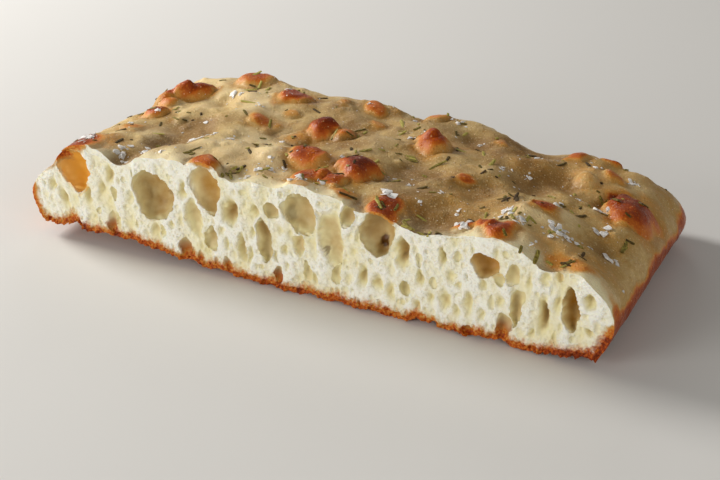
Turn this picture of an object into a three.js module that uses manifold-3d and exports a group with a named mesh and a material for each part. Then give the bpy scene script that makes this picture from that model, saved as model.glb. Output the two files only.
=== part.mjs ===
// Half of a square focaccia: a slab with one straight cut side that shows the open crumb,
// crust on its other three sides, and rosemary and salt flakes baked onto a blistered top.
// Millimetres, +Z up. X runs along the cut, the cut looks towards -Y, and Z = 0 is the table.

import * as THREE from 'three';
import { mergeVertices } from 'three/addons/utils/BufferGeometryUtils.js';
import Module from 'manifold-3d';

const wasm = await Module();
wasm.setup();

// Slab
const LENGTH = 220; // along the cut, crust to crust
const DEPTH = 104; // from the cut to the crust at the back
const CUT_HEIGHT = 38.9; // top of the slab at the middle of the cut
const BACK_DROP = { depth: 6.6, ease: 1.2 }; // how much lower the back is than the cut
// How the ends droop: from which X, over what run, and how deep. The right end droops more
// towards the back, and once more at its tip.
const LEFT_DROP = { depth: 5, from: -55, run: 40 };
const RIGHT_DROP = { front: 5, back: 9, from: 20, run: 90, ease: 1.3 };
const TIP_DROP = { depth: 5.6, from: 78, run: 32 };
// Slow waves of the top: the rise, the run of one radian along X and along Y, and the start.
const ROLLS = [
  { rise: 0.7, runX: 9, runY: 13, start: 1.5 },
  { rise: 0.6, runX: 15, runY: -8, start: 0.4 },
];
const SHOULDER = { left: 21, right: 13, back: 16 }; // how far in from each side the top curves down
const FULLNESS = { rest: 0.45, right: 0.85 }; // 0 for a shoulder that slopes off, 1 for a round one
const WAIST = 0.5; // where the side crust is widest, as a part of the slab's height there
const TUCK = 5; // how far the side crust draws in below its widest line
const WAVER = { depth: 1.4, run: 8 }; // how the left and back sides run in and out
// The base lies level between two places along X, and lifts off the table towards both ends.
const LEVEL = { from: -28, to: 82 };
const LIFT = { left: 4.4, right: 3, leftRun: 34, rightRun: 28 }; // height, and way to reach it

// Fineness of the surface
const CELL = 3.5; // spacing of the points on top
const SHOULDER_STEPS = 6;
const TUCK_STEPS = 3;
const SPARE = 4; // dough beyond the cut and below the base, trimmed off

// Broad swells of the top, { x, y, rise, spread }. A negative rise is a dimple left by a finger.
const SWELLS = [
  { x: -52, y: -50, rise: 2.6, spread: 10 },
  { x: 67, y: -48, rise: 2.4, spread: 12 },
  { x: -60, y: 34, rise: 4.2, spread: 13 },
  { x: -30, y: -28, rise: 1.6, spread: 12 },
  { x: 22, y: 22, rise: 1.6, spread: 12 },
  { x: -63, y: -28, rise: -3.5, spread: 7 },
  { x: -70, y: -50, rise: -5, spread: 5 },
  { x: -22, y: -46, rise: -2.2, spread: 4 },
  { x: -3, y: 12, rise: -2.2, spread: 6 },
  { x: 40, y: -50, rise: -5, spread: 11 },
  { x: 54, y: -22, rise: -2.6, spread: 7 },
  { x: 86, y: -51, rise: -2.6, spread: 5 },
  { x: 67, y: 2, rise: -3, spread: 7 },
  { x: -64, y: 12, rise: -3, spread: 7 },
  { x: -21, y: -9, rise: -3, spread: 6 },
  { x: -64, y: -10, rise: -3, spread: 7 },
  { x: -40, y: -17, rise: -3, spread: 7 },
  { x: 23, y: -11, rise: -3, spread: 7 },
  { x: 70, y: 13, rise: -2.5, spread: 6 },
  { x: 96, y: -26, rise: -2, spread: 6 },
  { x: 36, y: 24, rise: -3, spread: 7 },
  { x: 52, y: 38, rise: -3, spread: 8 },
  { x: 6, y: 40, rise: -2.4, spread: 7 },
  { x: -92, y: -14, rise: -2, spread: 9 },
  { x: 2, y: -52, rise: 1.4, spread: 11 },
  { x: 103, y: -48, rise: 1.2, spread: 6 },
];

// Gas blisters that puffed up under the top crust, { x, y, size across, rise }.
const BLISTERS = [
  { x: -90, y: -46, size: 18, rise: 2.6 },
  { x: -35, y: -49, size: 11, rise: 4.2 },
  { x: -9, y: -24, size: 14.5, rise: 3.6 },
  { x: 10, y: -26, size: 14.5, rise: 5.2 },
  { x: -2, y: -38, size: 13, rise: 2.6 },
  { x: 7, y: -37, size: 9, rise: 2.2 },
  { x: 15.5, y: -46, size: 9, rise: 1.2 },
  { x: -18, y: 7, size: 10.5, rise: 4.6 },
  { x: -9.5, y: 4.6, size: 9.5, rise: 3 },
  { x: 24.5, y: 9, size: 12, rise: 4.4 },
  { x: 20, y: 12, size: 7, rise: 2.6 },
  { x: 30, y: -46, size: 14, rise: 1.9 },
  { x: -42, y: 26, size: 11.5, rise: 3 },
  { x: -63, y: 35, size: 15, rise: 2 },
  { x: -88.5, y: 13.5, size: 11.5, rise: 4.2 },
  { x: -82, y: 19, size: 12.5, rise: 4.4 },
  { x: -85.5, y: -4, size: 8.5, rise: 3.4 },
  { x: -86, y: 6, size: 8, rise: 2.4 },
  { x: -83, y: -22, size: 9, rise: 0.9 },
  { x: -42, y: 1, size: 10, rise: 1.4 },
  { x: -26, y: -2, size: 8, rise: 1.2 },
  { x: -36, y: 14, size: 5.5, rise: 1.2 },
  { x: 1, y: -49, size: 7, rise: 0.8 },
  { x: 45, y: -12, size: 5.5, rise: 1.6 },
  { x: 57, y: -43, size: 6, rise: 1.6 },
  { x: 63.5, y: -43, size: 6, rise: 1.8 },
  { x: 69, y: -45.5, size: 9.5, rise: 2.4 },
  { x: 76, y: -22, size: 6.5, rise: 2 },
  { x: 98.6, y: 5.6, size: 19.5, rise: 4.6 },
  { x: 69, y: 36, size: 7, rise: 1.8 },
  { x: 85, y: 26, size: 8.5, rise: 2.6 },
  { x: 81, y: 44, size: 8, rise: 1.8 },
  { x: 42, y: 29, size: 5, rise: 1.2 },
  { x: -10, y: 33, size: 9, rise: 1.8 },
  { x: 13.5, y: 36, size: 9, rise: 2.2 },
  { x: -3, y: 20, size: 6, rise: 1.2 },
  { x: -22, y: 30, size: 5, rise: 1.2 },
  { x: 78, y: 17, size: 8, rise: 2.2 },
];
const BLISTER_SKIRT = 1; // width of the foot round a blister
const BLISTER_EASE = 1.1; // how softly a blister rises from its foot

// Gas cells that the cut opened, { x, z, width, height } on the cut, largest first.
const CELLS = [
  { x: -56, z: 25, width: 19, height: 20 },
  { x: 12, z: 24, width: 10.5, height: 23, shallow: true },
  { x: 1, z: 31, width: 12.4, height: 15.5 },
  { x: 30, z: 30, width: 12, height: 15.5 },
  { x: -34, z: 33, width: 12, height: 14.5 },
  { x: -88, z: 29, width: 11.5, height: 14.5 },
  { x: 95, z: 19, width: 6, height: 19 },
  { x: 21, z: 33, width: 6.7, height: 13.5 },
  { x: 86, z: 20, width: 5.2, height: 17, shallow: true },
  { x: -41, z: 20, width: 5.7, height: 15.5 },
  { x: -12, z: 18, width: 5.7, height: 15.5 },
  { x: 67, z: 28, width: 9, height: 10 },
  { x: 39, z: 24, width: 5.7, height: 14.5, shallow: true },
  { x: 102, z: 21, width: 8, height: 9, shallow: true },
  { x: 77, z: 16, width: 4.6, height: 13.5 },
  { x: -33, z: 14, width: 5.7, height: 10.5 },
  { x: -25, z: 26, width: 4.8, height: 12.5 },
  { x: -20, z: 18, width: 4.3, height: 11.5 },
  { x: 1, z: 18, width: 5, height: 9 },
  { x: 74, z: 6, width: 4.3, height: 10.5 },
  { x: 45, z: 20, width: 3.8, height: 10.5 },
  { x: -79, z: 21, width: 4.4, height: 9 },
  { x: -44, z: 8, width: 5, height: 7.5 },
  { x: -10, z: 29, width: 5.7, height: 5.7 },
  { x: -77, z: 11, width: 3.5, height: 8.5 },
  { x: 14, z: 9, width: 3.8, height: 7.5 },
  { x: 4, z: 10, width: 3.4, height: 7.5 },
  { x: 101, z: 12, width: 4.4, height: 5.7 },
  { x: 62, z: 12, width: 2.7, height: 9 },
  { x: -7, z: 4, width: 3.5, height: 6 },
  { x: 78, z: 27, width: 3.4, height: 6 },
  { x: 55, z: 13, width: 2.8, height: 6.6 },
  { x: -90, z: 6, width: 4, height: 4.2 },
  { x: 40, z: 13, width: 3.5, height: 4.8 },
  { x: -25, z: 7, width: 3.3, height: 5 },
  { x: -73, z: 23, width: 3.4, height: 4.8 },
];
const CELL_DEPTH = 0.7; // how deep a gas cell reaches behind the cut, as a part of its width
const SHALLOW_DEPTH = 0.35; // the same for the cells that the knife only grazed
const WIDE_CELL = 8.5; // from this width on a gas cell has finer facets
const CRUST = 1.4; // what is left between a gas cell and the outside
const CELL_LEAN = 0.14; // largest lean of a gas cell, in radians

// Toppings
const NEEDLES = { count: 34, longest: 9.5, shortest: 5.5, width: 1.5, taper: 0.6, pinch: 0.55 };
const FLAKES = { count: 40, largest: 3.8, smallest: 2.2, thickness: 0.75, lean: 0.25 };
const SINK = { needle: 0.35, flake: 0.375 }; // how deep a topping sits in the crust
const BARE_RIM = { left: 22, right: 15, front: 2.5, back: 17 }; // no toppings this near the edges
const SLOPE_REACH = 1.5; // how far round a topping the slope of the crust is measured

// Where the random draws start
const SEED = { cells: 5, toppings: 11 };

const HALF_LENGTH = LENGTH / 2;
const HALF_DEPTH = DEPTH / 2;
const { clamp, lerp } = THREE.MathUtils;

function randomSource(seed) {
  let state = seed >>> 0;
  return () => {
    state = (state + 0x6d2b79f5) >>> 0;
    let mixed = Math.imul(state ^ (state >>> 15), state | 1);
    mixed ^= mixed + Math.imul(mixed ^ (mixed >>> 7), mixed | 61);
    return ((mixed ^ (mixed >>> 14)) >>> 0) / 2 ** 32;
  };
}

// Height of the base above the table.
function baseHeight(x) {
  const left = clamp((LEVEL.from - x) / LIFT.leftRun, 0, 1);
  const right = clamp((x - LEVEL.to) / LIFT.rightRun, 0, 1);
  return LIFT.left * left + LIFT.right * right;
}

// Height that the top has away from its shoulders.
function topHeight(x, y) {
  const back = clamp((y + HALF_DEPTH) / DEPTH, 0, 1);
  const left = clamp((LEFT_DROP.from - x) / LEFT_DROP.run, 0, 1.3);
  const right = clamp((x - RIGHT_DROP.from) / RIGHT_DROP.run, 0, 1);
  const tip = clamp((x - TIP_DROP.from) / TIP_DROP.run, 0, 1);
  let z = CUT_HEIGHT - BACK_DROP.depth * back ** BACK_DROP.ease;
  z -= LEFT_DROP.depth * left ** 2 + TIP_DROP.depth * tip;
  z -= lerp(RIGHT_DROP.front, RIGHT_DROP.back, back) * right ** RIGHT_DROP.ease;
  for (const roll of ROLLS) z += roll.rise * Math.sin(x / roll.runX + y / roll.runY + roll.start);
  for (const swell of SWELLS) {
    const away = Math.hypot(x - swell.x, y - swell.y) / swell.spread;
    z += swell.rise * Math.exp((-away * away) / 2);
  }
  for (const blister of BLISTERS) {
    const away = Math.hypot(x - blister.x, y - blister.y) / (blister.size / 2 + BLISTER_SKIRT);
    z += blister.rise * Math.max(0, 1 - away * away) ** BLISTER_EASE;
  }
  return z;
}

// Rings of the side crust, from the top's edge down over the shoulder and under the waist.
// way is the part of the way over the shoulder, drop the part of the way from waist to base.
function shoulderRings() {
  const rings = [];
  for (let step = 0; step <= SHOULDER_STEPS; step += 1) {
    rings.push({ way: step / SHOULDER_STEPS, drop: 0, spare: 0 });
  }
  for (let step = 1; step <= TUCK_STEPS; step += 1) {
    rings.push({ way: 1, drop: step / TUCK_STEPS, spare: 0 });
  }
  rings.push({ way: 1, drop: 1, spare: SPARE });
  return rings;
}

// Lines of the surface grid along one direction: rings over the shoulders, and the flat top.
// Each line has its place on the flat top, how many rings out it is, with a sign, and the
// width of its shoulder.
function gridLines(from, to, before, after, ringCount) {
  const lines = [];
  for (let ring = before ? ringCount : 0; ring > 0; ring -= 1) {
    lines.push({ at: from + before, ring: -ring, shoulder: before });
  }
  const steps = Math.round((to - after - from - before) / CELL);
  for (let step = 0; step <= steps; step += 1) {
    lines.push({ at: lerp(from + before, to - after, step / steps), ring: 0, shoulder: 0 });
  }
  for (let ring = 1; ring <= ringCount; ring += 1) {
    lines.push({ at: to - after, ring, shoulder: after });
  }
  return lines;
}

// Point of the crust where two grid lines cross. In a corner the rings turn round it.
function crustPoint(column, row, rings) {
  const across = Math.abs(column.ring);
  const along = Math.abs(row.ring);
  const { way, drop, spare } = rings[Math.max(across, along)];
  const turn = across >= along ? along / (2 * across || 1) : 1 - across / (2 * along);
  const sideX = Math.sign(column.ring) * Math.cos(turn * (Math.PI / 2));
  const sideY = Math.sign(row.ring) * Math.sin(turn * (Math.PI / 2));
  const toRight = Math.max(0, sideX);
  const out = lerp(way, Math.sin((way * Math.PI) / 2), lerp(FULLNESS.rest, FULLNESS.right, toRight));
  const wave = (1 + Math.cos((column.at - row.at) / WAVER.run)) / 2;
  const waver = wave * WAVER.depth * out * (1 - drop) * (1 - toRight);
  const drawnIn = TUCK * drop ** 2 + waver;
  const x = column.at + sideX * Math.max(0, out * column.shoulder - drawnIn);
  const y = row.at + sideY * Math.max(0, out * row.shoulder - drawnIn);
  const base = baseHeight(x);
  const top = topHeight(x, y);
  const waist = lerp(base, top, WAIST);
  const z = lerp(waist, base, drop) + (top - waist) * Math.cos((way * Math.PI) / 2) - spare;
  return new THREE.Vector3(x, y, z);
}

// The whole crust as one closed skin, still too deep at the cut and at the base.
function doughGeometry() {
  const rings = shoulderRings();
  const outermost = rings.length - 1;
  const columns = gridLines(-HALF_LENGTH, HALF_LENGTH, SHOULDER.left, SHOULDER.right, outermost);
  const rows = gridLines(-HALF_DEPTH - SPARE, HALF_DEPTH, 0, SHOULDER.back, outermost);
  const points = rows.flatMap((row) => columns.map((column) => crustPoint(column, row, rings)));
  const faces = [];
  const wide = columns.length;
  for (let j = 0; j < rows.length - 1; j += 1) {
    for (let i = 0; i < wide - 1; i += 1) {
      const [a, b, c, d] = [j * wide + i, j * wide + i + 1, (j + 1) * wide + i + 1, (j + 1) * wide + i];
      const cutAcross = (i < wide / 2) === j < rows.length / 2;
      faces.push(...(cutAcross ? [a, b, c, a, c, d] : [a, b, d, b, c, d]));
    }
  }
  const top = rows.length - 1;
  const rim = [];
  for (let i = 0; i < wide - 1; i += 1) rim.push(i);
  for (let j = 0; j < top; j += 1) rim.push(j * wide + wide - 1);
  for (let i = wide - 1; i > 0; i -= 1) rim.push(top * wide + i);
  for (let j = top; j > 0; j -= 1) rim.push(j * wide);
  const hub = points.length;
  points.push(new THREE.Vector3(0, -HALF_DEPTH - SPARE, -SPARE));
  rim.forEach((start, k) => faces.push(hub, rim[(k + 1) % rim.length], start));
  const geometry = new THREE.BufferGeometry().setFromPoints(points);
  geometry.setIndex(faces);
  return geometry;
}

function toManifold(geometry) {
  const bare = geometry.clone();
  bare.deleteAttribute('normal');
  bare.deleteAttribute('uv');
  const merged = mergeVertices(bare, 1e-4);
  const mesh = new wasm.Mesh({
    numProp: 3,
    vertProperties: Float32Array.from(merged.attributes.position.array),
    triVerts: Uint32Array.from(merged.index.array),
  });
  return new wasm.Manifold(mesh);
}

function fromManifold(solid) {
  const mesh = solid.getMesh();
  const geometry = new THREE.BufferGeometry();
  geometry.setAttribute('position', new THREE.BufferAttribute(mesh.vertProperties, 3));
  geometry.setIndex(new THREE.BufferAttribute(mesh.triVerts, 1));
  return geometry;
}

// What the knife takes off in front of the cut.
function knifeBlock() {
  const size = 2 * SPARE;
  const block = new THREE.BoxGeometry(LENGTH + size, size, 4 * CUT_HEIGHT);
  return block.translate(0, -HALF_DEPTH - size / 2, CUT_HEIGHT);
}

// What lies below the curled base, up to the table and the lifted ends.
function tableBlock() {
  const end = HALF_LENGTH + SPARE;
  const bends = [-end, LEVEL.from - LIFT.leftRun, LEVEL.from, LEVEL.to, LEVEL.to + LIFT.rightRun, end];
  const outline = new THREE.Shape(bends.map((x) => new THREE.Vector2(x, baseHeight(x))));
  outline.lineTo(end, -4 * SPARE);
  outline.lineTo(-end, -4 * SPARE);
  const depth = DEPTH + 4 * SPARE;
  const block = new THREE.ExtrudeGeometry(outline, { depth, bevelEnabled: false });
  return block.rotateX(Math.PI / 2).translate(0, depth / 2, 0);
}

// One opened gas cell: an upright egg across the cut that leaves some crust round it.
function gasCell(cell, random) {
  const wide = cell.width >= WIDE_CELL;
  const depth = (cell.shallow ? SHALLOW_DEPTH : CELL_DEPTH) * cell.width;
  let ceiling = cell.z + cell.height / 2;
  for (const behind of [0, 0.5, 1]) {
    ceiling = Math.min(ceiling, topHeight(cell.x, -HALF_DEPTH + depth * behind) - CRUST);
  }
  const floor = Math.max(cell.z - cell.height / 2, baseHeight(cell.x) + CRUST);
  const egg = new THREE.IcosahedronGeometry(1, wide ? 2 : 1);
  egg.rotateX(random() * Math.PI).rotateZ(random() * Math.PI);
  egg.scale(cell.width / 2, depth, (ceiling - floor) / 2);
  egg.rotateY((random() * 2 - 1) * CELL_LEAN);
  return egg.translate(cell.x, -HALF_DEPTH, (ceiling + floor) / 2);
}

// Sets a topping down on the crust, turned with the slope there and sunk in a little.
function layOnTop(geometry, x, y, heading, sink) {
  const reach = SLOPE_REACH;
  const slopeX = (topHeight(x + reach, y) - topHeight(x - reach, y)) / (2 * reach);
  const slopeY = (topHeight(x, y + reach) - topHeight(x, y - reach)) / (2 * reach);
  const normal = new THREE.Vector3(-slopeX, -slopeY, 1).normalize();
  const lean = new THREE.Quaternion().setFromUnitVectors(new THREE.Vector3(0, 0, 1), normal);
  geometry.rotateZ(heading).applyQuaternion(lean);
  return geometry.translate(x, y, topHeight(x, y) - sink);
}

// A dried rosemary leaf: a thin curled blade, four-sided, narrower towards both ends.
function rosemaryNeedle(length, bend) {
  const steps = 3;
  const blade = new THREE.CylinderGeometry(NEEDLES.taper, 1, length, 4, steps).rotateZ(Math.PI / 2);
  const position = blade.attributes.position;
  for (let k = 0; k < position.count; k += 1) {
    const along = (2 * position.getX(k)) / length;
    const half = (NEEDLES.width / 2) * (1 - NEEDLES.pinch * along * along);
    position.setY(k, position.getY(k) * half + (bend * along * along * length) / 4);
    position.setZ(k, position.getZ(k) * half);
  }
  return blade;
}

// A flake of coarse salt: a small slanting crystal with uneven sides.
function saltFlake(size, random) {
  const crystal = new THREE.CylinderGeometry(0.36, 0.5, FLAKES.thickness, 5, 1).rotateX(Math.PI / 2);
  const broad = size * lerp(0.55, 0.9, random());
  crystal.scale(size, broad, lerp(0.7, 1.5, random()));
  return crystal.rotateY(lerp(-FLAKES.lean, FLAKES.lean, random()));
}

// Places spread evenly over the top, one in each cell of a loose grid, shuffled.
function spreadPlaces(count, random) {
  const width = LENGTH - BARE_RIM.left - BARE_RIM.right;
  const depth = DEPTH - BARE_RIM.front - BARE_RIM.back;
  const columns = Math.ceil(Math.sqrt((count * width) / depth));
  const rows = Math.ceil(count / columns);
  const places = [];
  for (let k = 0; k < columns * rows; k += 1) {
    const x = BARE_RIM.left - HALF_LENGTH + (((k % columns) + random()) / columns) * width;
    const y = BARE_RIM.front - HALF_DEPTH + ((Math.floor(k / columns) + random()) / rows) * depth;
    places.push({ x, y, order: random() });
  }
  return places.sort((one, other) => one.order - other.order).slice(0, count);
}

// Toppings that would touch one already laid are skipped.
function scatterToppings() {
  const random = randomSource(SEED.toppings);
  const laid = [];
  const toppings = [];
  const lay = (geometry, place, radius, heading, sink) => {
    const clear = laid.every((one) => Math.hypot(one.x - place.x, one.y - place.y) > one.radius + radius);
    if (!clear) return;
    laid.push({ ...place, radius });
    toppings.push(layOnTop(geometry, place.x, place.y, heading, sink));
  };
  spreadPlaces(NEEDLES.count, random).forEach((place, k) => {
    const length = lerp(NEEDLES.longest, NEEDLES.shortest, k / NEEDLES.count);
    const needle = rosemaryNeedle(length, random() - 0.5);
    lay(needle, place, length / 2, random() * Math.PI, SINK.needle);
  });
  spreadPlaces(FLAKES.count, random).forEach((place, k) => {
    const size = lerp(FLAKES.largest, FLAKES.smallest, k / FLAKES.count);
    lay(saltFlake(size, random), place, size / 2, random() * Math.PI, SINK.flake);
  });
  return toppings;
}

function buildFocaccia() {
  const random = randomSource(SEED.cells);
  let slab = toManifold(doughGeometry());
  slab = slab.subtract(toManifold(knifeBlock())).subtract(toManifold(tableBlock()));
  for (const cell of CELLS) slab = slab.subtract(toManifold(gasCell(cell, random)));
  for (const topping of scatterToppings()) slab = slab.add(toManifold(topping));
  const bread = new THREE.MeshStandardMaterial({ color: 0xc9a86c, roughness: 0.6, metalness: 0 });
  const mesh = new THREE.Mesh(fromManifold(slab), bread);
  mesh.name = 'focaccia';
  return mesh;
}

const group = new THREE.Group();
group.add(buildFocaccia());

export default group;
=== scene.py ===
"""Half of a square focaccia: open crumb on the cut side, blistered golden crust, rosemary and salt.

The dough is shaped in millimetres and scaled to metres at the end. X runs along the cut, the cut
looks towards -Y, and the base lies on the floor at Z = 0.
"""

import logging
import math
import random
from collections.abc import Callable
from dataclasses import dataclass, field, replace
from enum import Enum

import bmesh
import bpy
import numpy as np
from mathutils import Euler, Matrix, Quaternion, Vector, noise
from mathutils.bvhtree import BVHTree
from mathutils.kdtree import KDTree


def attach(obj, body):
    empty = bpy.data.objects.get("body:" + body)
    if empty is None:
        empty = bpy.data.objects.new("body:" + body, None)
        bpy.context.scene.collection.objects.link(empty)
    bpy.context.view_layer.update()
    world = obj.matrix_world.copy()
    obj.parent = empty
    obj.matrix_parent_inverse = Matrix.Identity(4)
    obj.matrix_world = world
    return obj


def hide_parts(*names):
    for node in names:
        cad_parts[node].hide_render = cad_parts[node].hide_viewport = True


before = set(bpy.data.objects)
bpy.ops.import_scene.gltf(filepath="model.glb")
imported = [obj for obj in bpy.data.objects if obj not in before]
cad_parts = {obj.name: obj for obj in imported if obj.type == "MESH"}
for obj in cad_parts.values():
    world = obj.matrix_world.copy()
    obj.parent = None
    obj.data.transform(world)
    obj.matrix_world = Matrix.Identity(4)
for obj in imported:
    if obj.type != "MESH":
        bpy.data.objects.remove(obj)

log = logging.getLogger("focaccia")

MM = 0.001
BODY = "root"
NODE = "focaccia"
SEED_STEP = np.array((17.3, 5.9, 7.7))
NOISE_GAIN = 1.7
FROTH_WALL = 0.16

Colour = tuple[float, float, float]


def srgb(red: int, green: int, blue: int) -> Colour:
    """Turns a colour as a painter names it, 0 to 255, into the linear values that shaders take.

    Args:
        red: The red part.
        green: The green part.
        blue: The blue part.

    Returns:
        The three linear parts.
    """
    def part(value: int) -> float:
        level = value / 255
        return level / 12.92 if level <= 0.04045 else ((level + 0.055) / 1.055) ** 2.4
    return part(red), part(green), part(blue)


def smooth_ramp(value: np.ndarray, low: float, high: float) -> np.ndarray:
    """Eases from 0 at low to 1 at high; low may be the larger one.

    Args:
        value: The values to ease.
        low: Where the ramp leaves 0.
        high: Where it reaches 1.

    Returns:
        The eased values, from 0 to 1.
    """
    part = np.clip((value - low) / (high - low), 0.0, 1.0)
    return part * part * (3 - 2 * part)


def lump_noise(points: np.ndarray, size: float, seed: int = 0) -> np.ndarray:
    """Smooth random lumps about `size` across, the same on every run.

    Args:
        points: Places, one row each, of two or three coordinates.
        size: Spacing of the lumps, in the unit of the points.
        seed: Picks another set of lumps.

    Returns:
        One value for each row, about -1 to 1.
    """
    cells = points / size
    if cells.shape[1] == 2:
        cells = np.column_stack((cells, np.zeros(len(cells))))
    cells = cells + SEED_STEP * (seed + 1)
    return np.array([NOISE_GAIN * noise.noise(cell) for cell in cells.tolist()])


def lumps(points: np.ndarray, sizes: tuple[float, ...], seed: int = 0) -> np.ndarray:
    """Layers lump noise of several sizes, each weighted by its size.

    Args:
        points: Places, one row each.
        sizes: The spacings to layer.
        seed: Picks another set of lumps.

    Returns:
        One value for each row, about -1 to 1.
    """
    layers = [size * lump_noise(points, size, seed + rank) for rank, size in enumerate(sizes)]
    return sum(layers) / sum(sizes)


@dataclass(frozen=True)
class Ripple:
    """One layer of an uneven surface: how high its lumps are, how wide, and which lumps."""

    height: float
    size: float
    seed: int


def rippled(points: np.ndarray, ripples: tuple[Ripple, ...]) -> np.ndarray:
    """Adds up the layers of an uneven surface.

    Args:
        points: Places, one row each.
        ripples: The layers.

    Returns:
        The height of each place, above or below 0.
    """
    return sum(layer.height * lump_noise(points, layer.size, layer.seed) for layer in ripples)


def lobed(turn: np.ndarray, lobes: tuple[tuple[int, float, float], ...]) -> np.ndarray:
    """An outline that swings in and out as it goes round.

    Args:
        turn: Angles round the middle.
        lobes: How often each wave swings, how far, and where it starts.

    Returns:
        The outline's distance from the middle at each angle, about 1.
    """
    return 1 + sum(swing * np.sin(count * turn + start) for count, swing, start in lobes)


def froth(points: np.ndarray, size: float, seed: int = 0) -> np.ndarray:
    """Foam of little bubbles with thin walls between them.

    Args:
        points: Places, one row each, of two coordinates.
        size: Spacing of the bubbles, in the unit of the points.
        seed: Picks another foam.

    Returns:
        One value for each row: 0 on a wall, nearly 1 in the middle of a bubble.
    """
    cells = np.column_stack((points / size, np.full(len(points), 3.7 * (seed + 1))))
    nearest = np.array([noise.voronoi(cell)[0][:2] for cell in cells.tolist()])
    return 1 - np.exp(-(nearest[:, 1] - nearest[:, 0]) / FROTH_WALL)


def kitchen_random(seed: int) -> Callable[[], float]:
    """A small random source that gives the same draws in any language.

    Args:
        seed: Where the draws start.

    Returns:
        A function that gives the next draw, from 0 to 1.
    """
    mask = 0xFFFFFFFF
    state = seed & mask

    def draw() -> float:
        nonlocal state
        state = (state + 0x6D2B79F5) & mask
        mixed = ((state ^ (state >> 15)) * (state | 1)) & mask
        mixed ^= (mixed + (((mixed ^ (mixed >> 7)) * (mixed | 61)) & mask)) & mask
        return (mixed ^ (mixed >> 14)) / 2 ** 32
    return draw


# ---------------------------------------------------------------------------------------- dough


@dataclass(frozen=True)
class Swell:
    """A broad rise of the top, or with a negative rise a dimple left by a finger."""

    x: float
    y: float
    rise: float
    spread: float


@dataclass(frozen=True)
class Blister:
    """A gas blister that puffed up under the top crust; toast says how brown its cap is."""

    x: float
    y: float
    size: float
    rise: float
    toast: float


SWELLS = (
    Swell(-52, -50, 2.6, 10), Swell(67, -48, 2.4, 12), Swell(-60, 34, 4.2, 13),
    Swell(-30, -28, 1.6, 12), Swell(22, 22, 1.6, 12), Swell(-63, -28, -3.5, 7),
    Swell(-70, -50, -5.0, 5), Swell(-22, -46, -2.2, 4), Swell(-3, 12, -2.2, 6),
    Swell(40, -50, -5, 11), Swell(54, -22, -2.6, 7), Swell(86, -51, -2.6, 5),
    Swell(67, 2, -3, 7), Swell(-64, 12, -3, 7), Swell(-21, -9, -3, 6),
    Swell(-64, -10, -3, 7), Swell(-40, -17, -3, 7), Swell(23, -11, -3, 7),
    Swell(70, 13, -2.5, 6), Swell(96, -26, -2, 6), Swell(36, 24, -3, 7),
    Swell(52, 38, -3, 8), Swell(6, 40, -2.4, 7), Swell(-92, -14, -2, 9),
    Swell(2, -52, 1.4, 11), Swell(103, -48, 1.2, 6),
)

BLISTERS = (
    Blister(-90, -46, 18, 2.6, 0.75), Blister(-35, -49, 11, 4.2, 0.62),
    Blister(-9, -24, 14.5, 3.6, 0.74), Blister(10.5, -26, 12.6, 5.8, 0.9),
    Blister(-2, -38, 13, 2.6, 0.7), Blister(7, -37, 9, 2.2, 0.66), Blister(15.5, -46, 9, 1.2, 0.42),
    Blister(-18, 7, 10, 4.6, 0.9), Blister(-9.5, 4.6, 9.5, 3.0, 0.52), Blister(24.5, 9, 12, 4.4, 0.66),
    Blister(20, 12, 7, 2.6, 0.55),
    Blister(30, -46, 14, 1.9, 0.78), Blister(-42, 26, 11.5, 3, 0.8),
    Blister(-63, 35, 15, 2, 0.6), Blister(-88.5, 13.5, 11.5, 4.4, 0.62),
    Blister(-82, 19, 12.5, 4.6, 0.78), Blister(-85.5, -4, 8.5, 3.4, 0.72),
    Blister(-86, 6, 8, 2.4, 0.45), Blister(-83, -22, 9, 0.9, 0.42),
    Blister(-42, 1, 10, 1.4, 0.5), Blister(-26, -2, 8, 1.2, 0.35),
    Blister(-36, 14, 5.5, 1.2, 0.36), Blister(1, -49, 7, 0.8, 0.36),
    Blister(45, -12, 5.5, 1.6, 0.62), Blister(57, -43, 6, 1.6, 0.55),
    Blister(63.5, -43, 6, 1.8, 0.62), Blister(69, -45.5, 9.5, 2.4, 0.8),
    Blister(76, -22, 6.5, 2, 0.68), Blister(98.6, 5.6, 19.5, 4.6, 0.84), Blister(91.6, 12.4, 8, 0.4, 0.95),
    Blister(69, 36, 7, 1.8, 0.62), Blister(85, 26, 8.5, 2.6, 0.5),
    Blister(81, 44, 8, 1.8, 0.8), Blister(42, 29, 5, 1.2, 0.42),
    Blister(-10, 33, 9, 1.8, 0.6), Blister(13.5, 36, 9, 2.2, 0.45),
    Blister(-3, 20, 6, 1.2, 0.42), Blister(-22, 30, 5, 1.2, 0.4),
    Blister(78, 17, 8, 2.2, 0.28),
)


@dataclass(frozen=True)
class ShadePatch:
    """A patch of the top painted darker, or paler with a shade below 0: painted shade in hollows and
    painted light on swells, over the crust's own baked tone.
    """

    x: float
    y: float
    spread: float
    shade: float


# Painted shade on the top (shade above 0) and painted light (shade below 0).
SHADE_PATCHES = (
    ShadePatch(-79, 11, 8, -0.8), ShadePatch(-45, 12, 6, -0.5), ShadePatch(-33, -9, 9, -0.9), ShadePatch(-15, -36, 6, -1.1),
    ShadePatch(-75, -20, 6, -0.35), ShadePatch(-56, -7, 7, 0.8), ShadePatch(-57, -40, 6, 0.6), ShadePatch(-4, -3, 8, 1.0),
    ShadePatch(-29, 28, 8, 0.7), ShadePatch(-15, 16, 7, 0.8), ShadePatch(5, 25, 6, 0.5), ShadePatch(33, -30, 9, 1.0),
    ShadePatch(36, -14, 6, 0.5), ShadePatch(55, -12, 5, 0.7), ShadePatch(55, 16, 10, 0.7), ShadePatch(20, 30, 9, 0.5),
    ShadePatch(42, 30, 9, 0.7), ShadePatch(86, 15, 7, -0.4), ShadePatch(64, -23, 5, 0.5),
)


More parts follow.
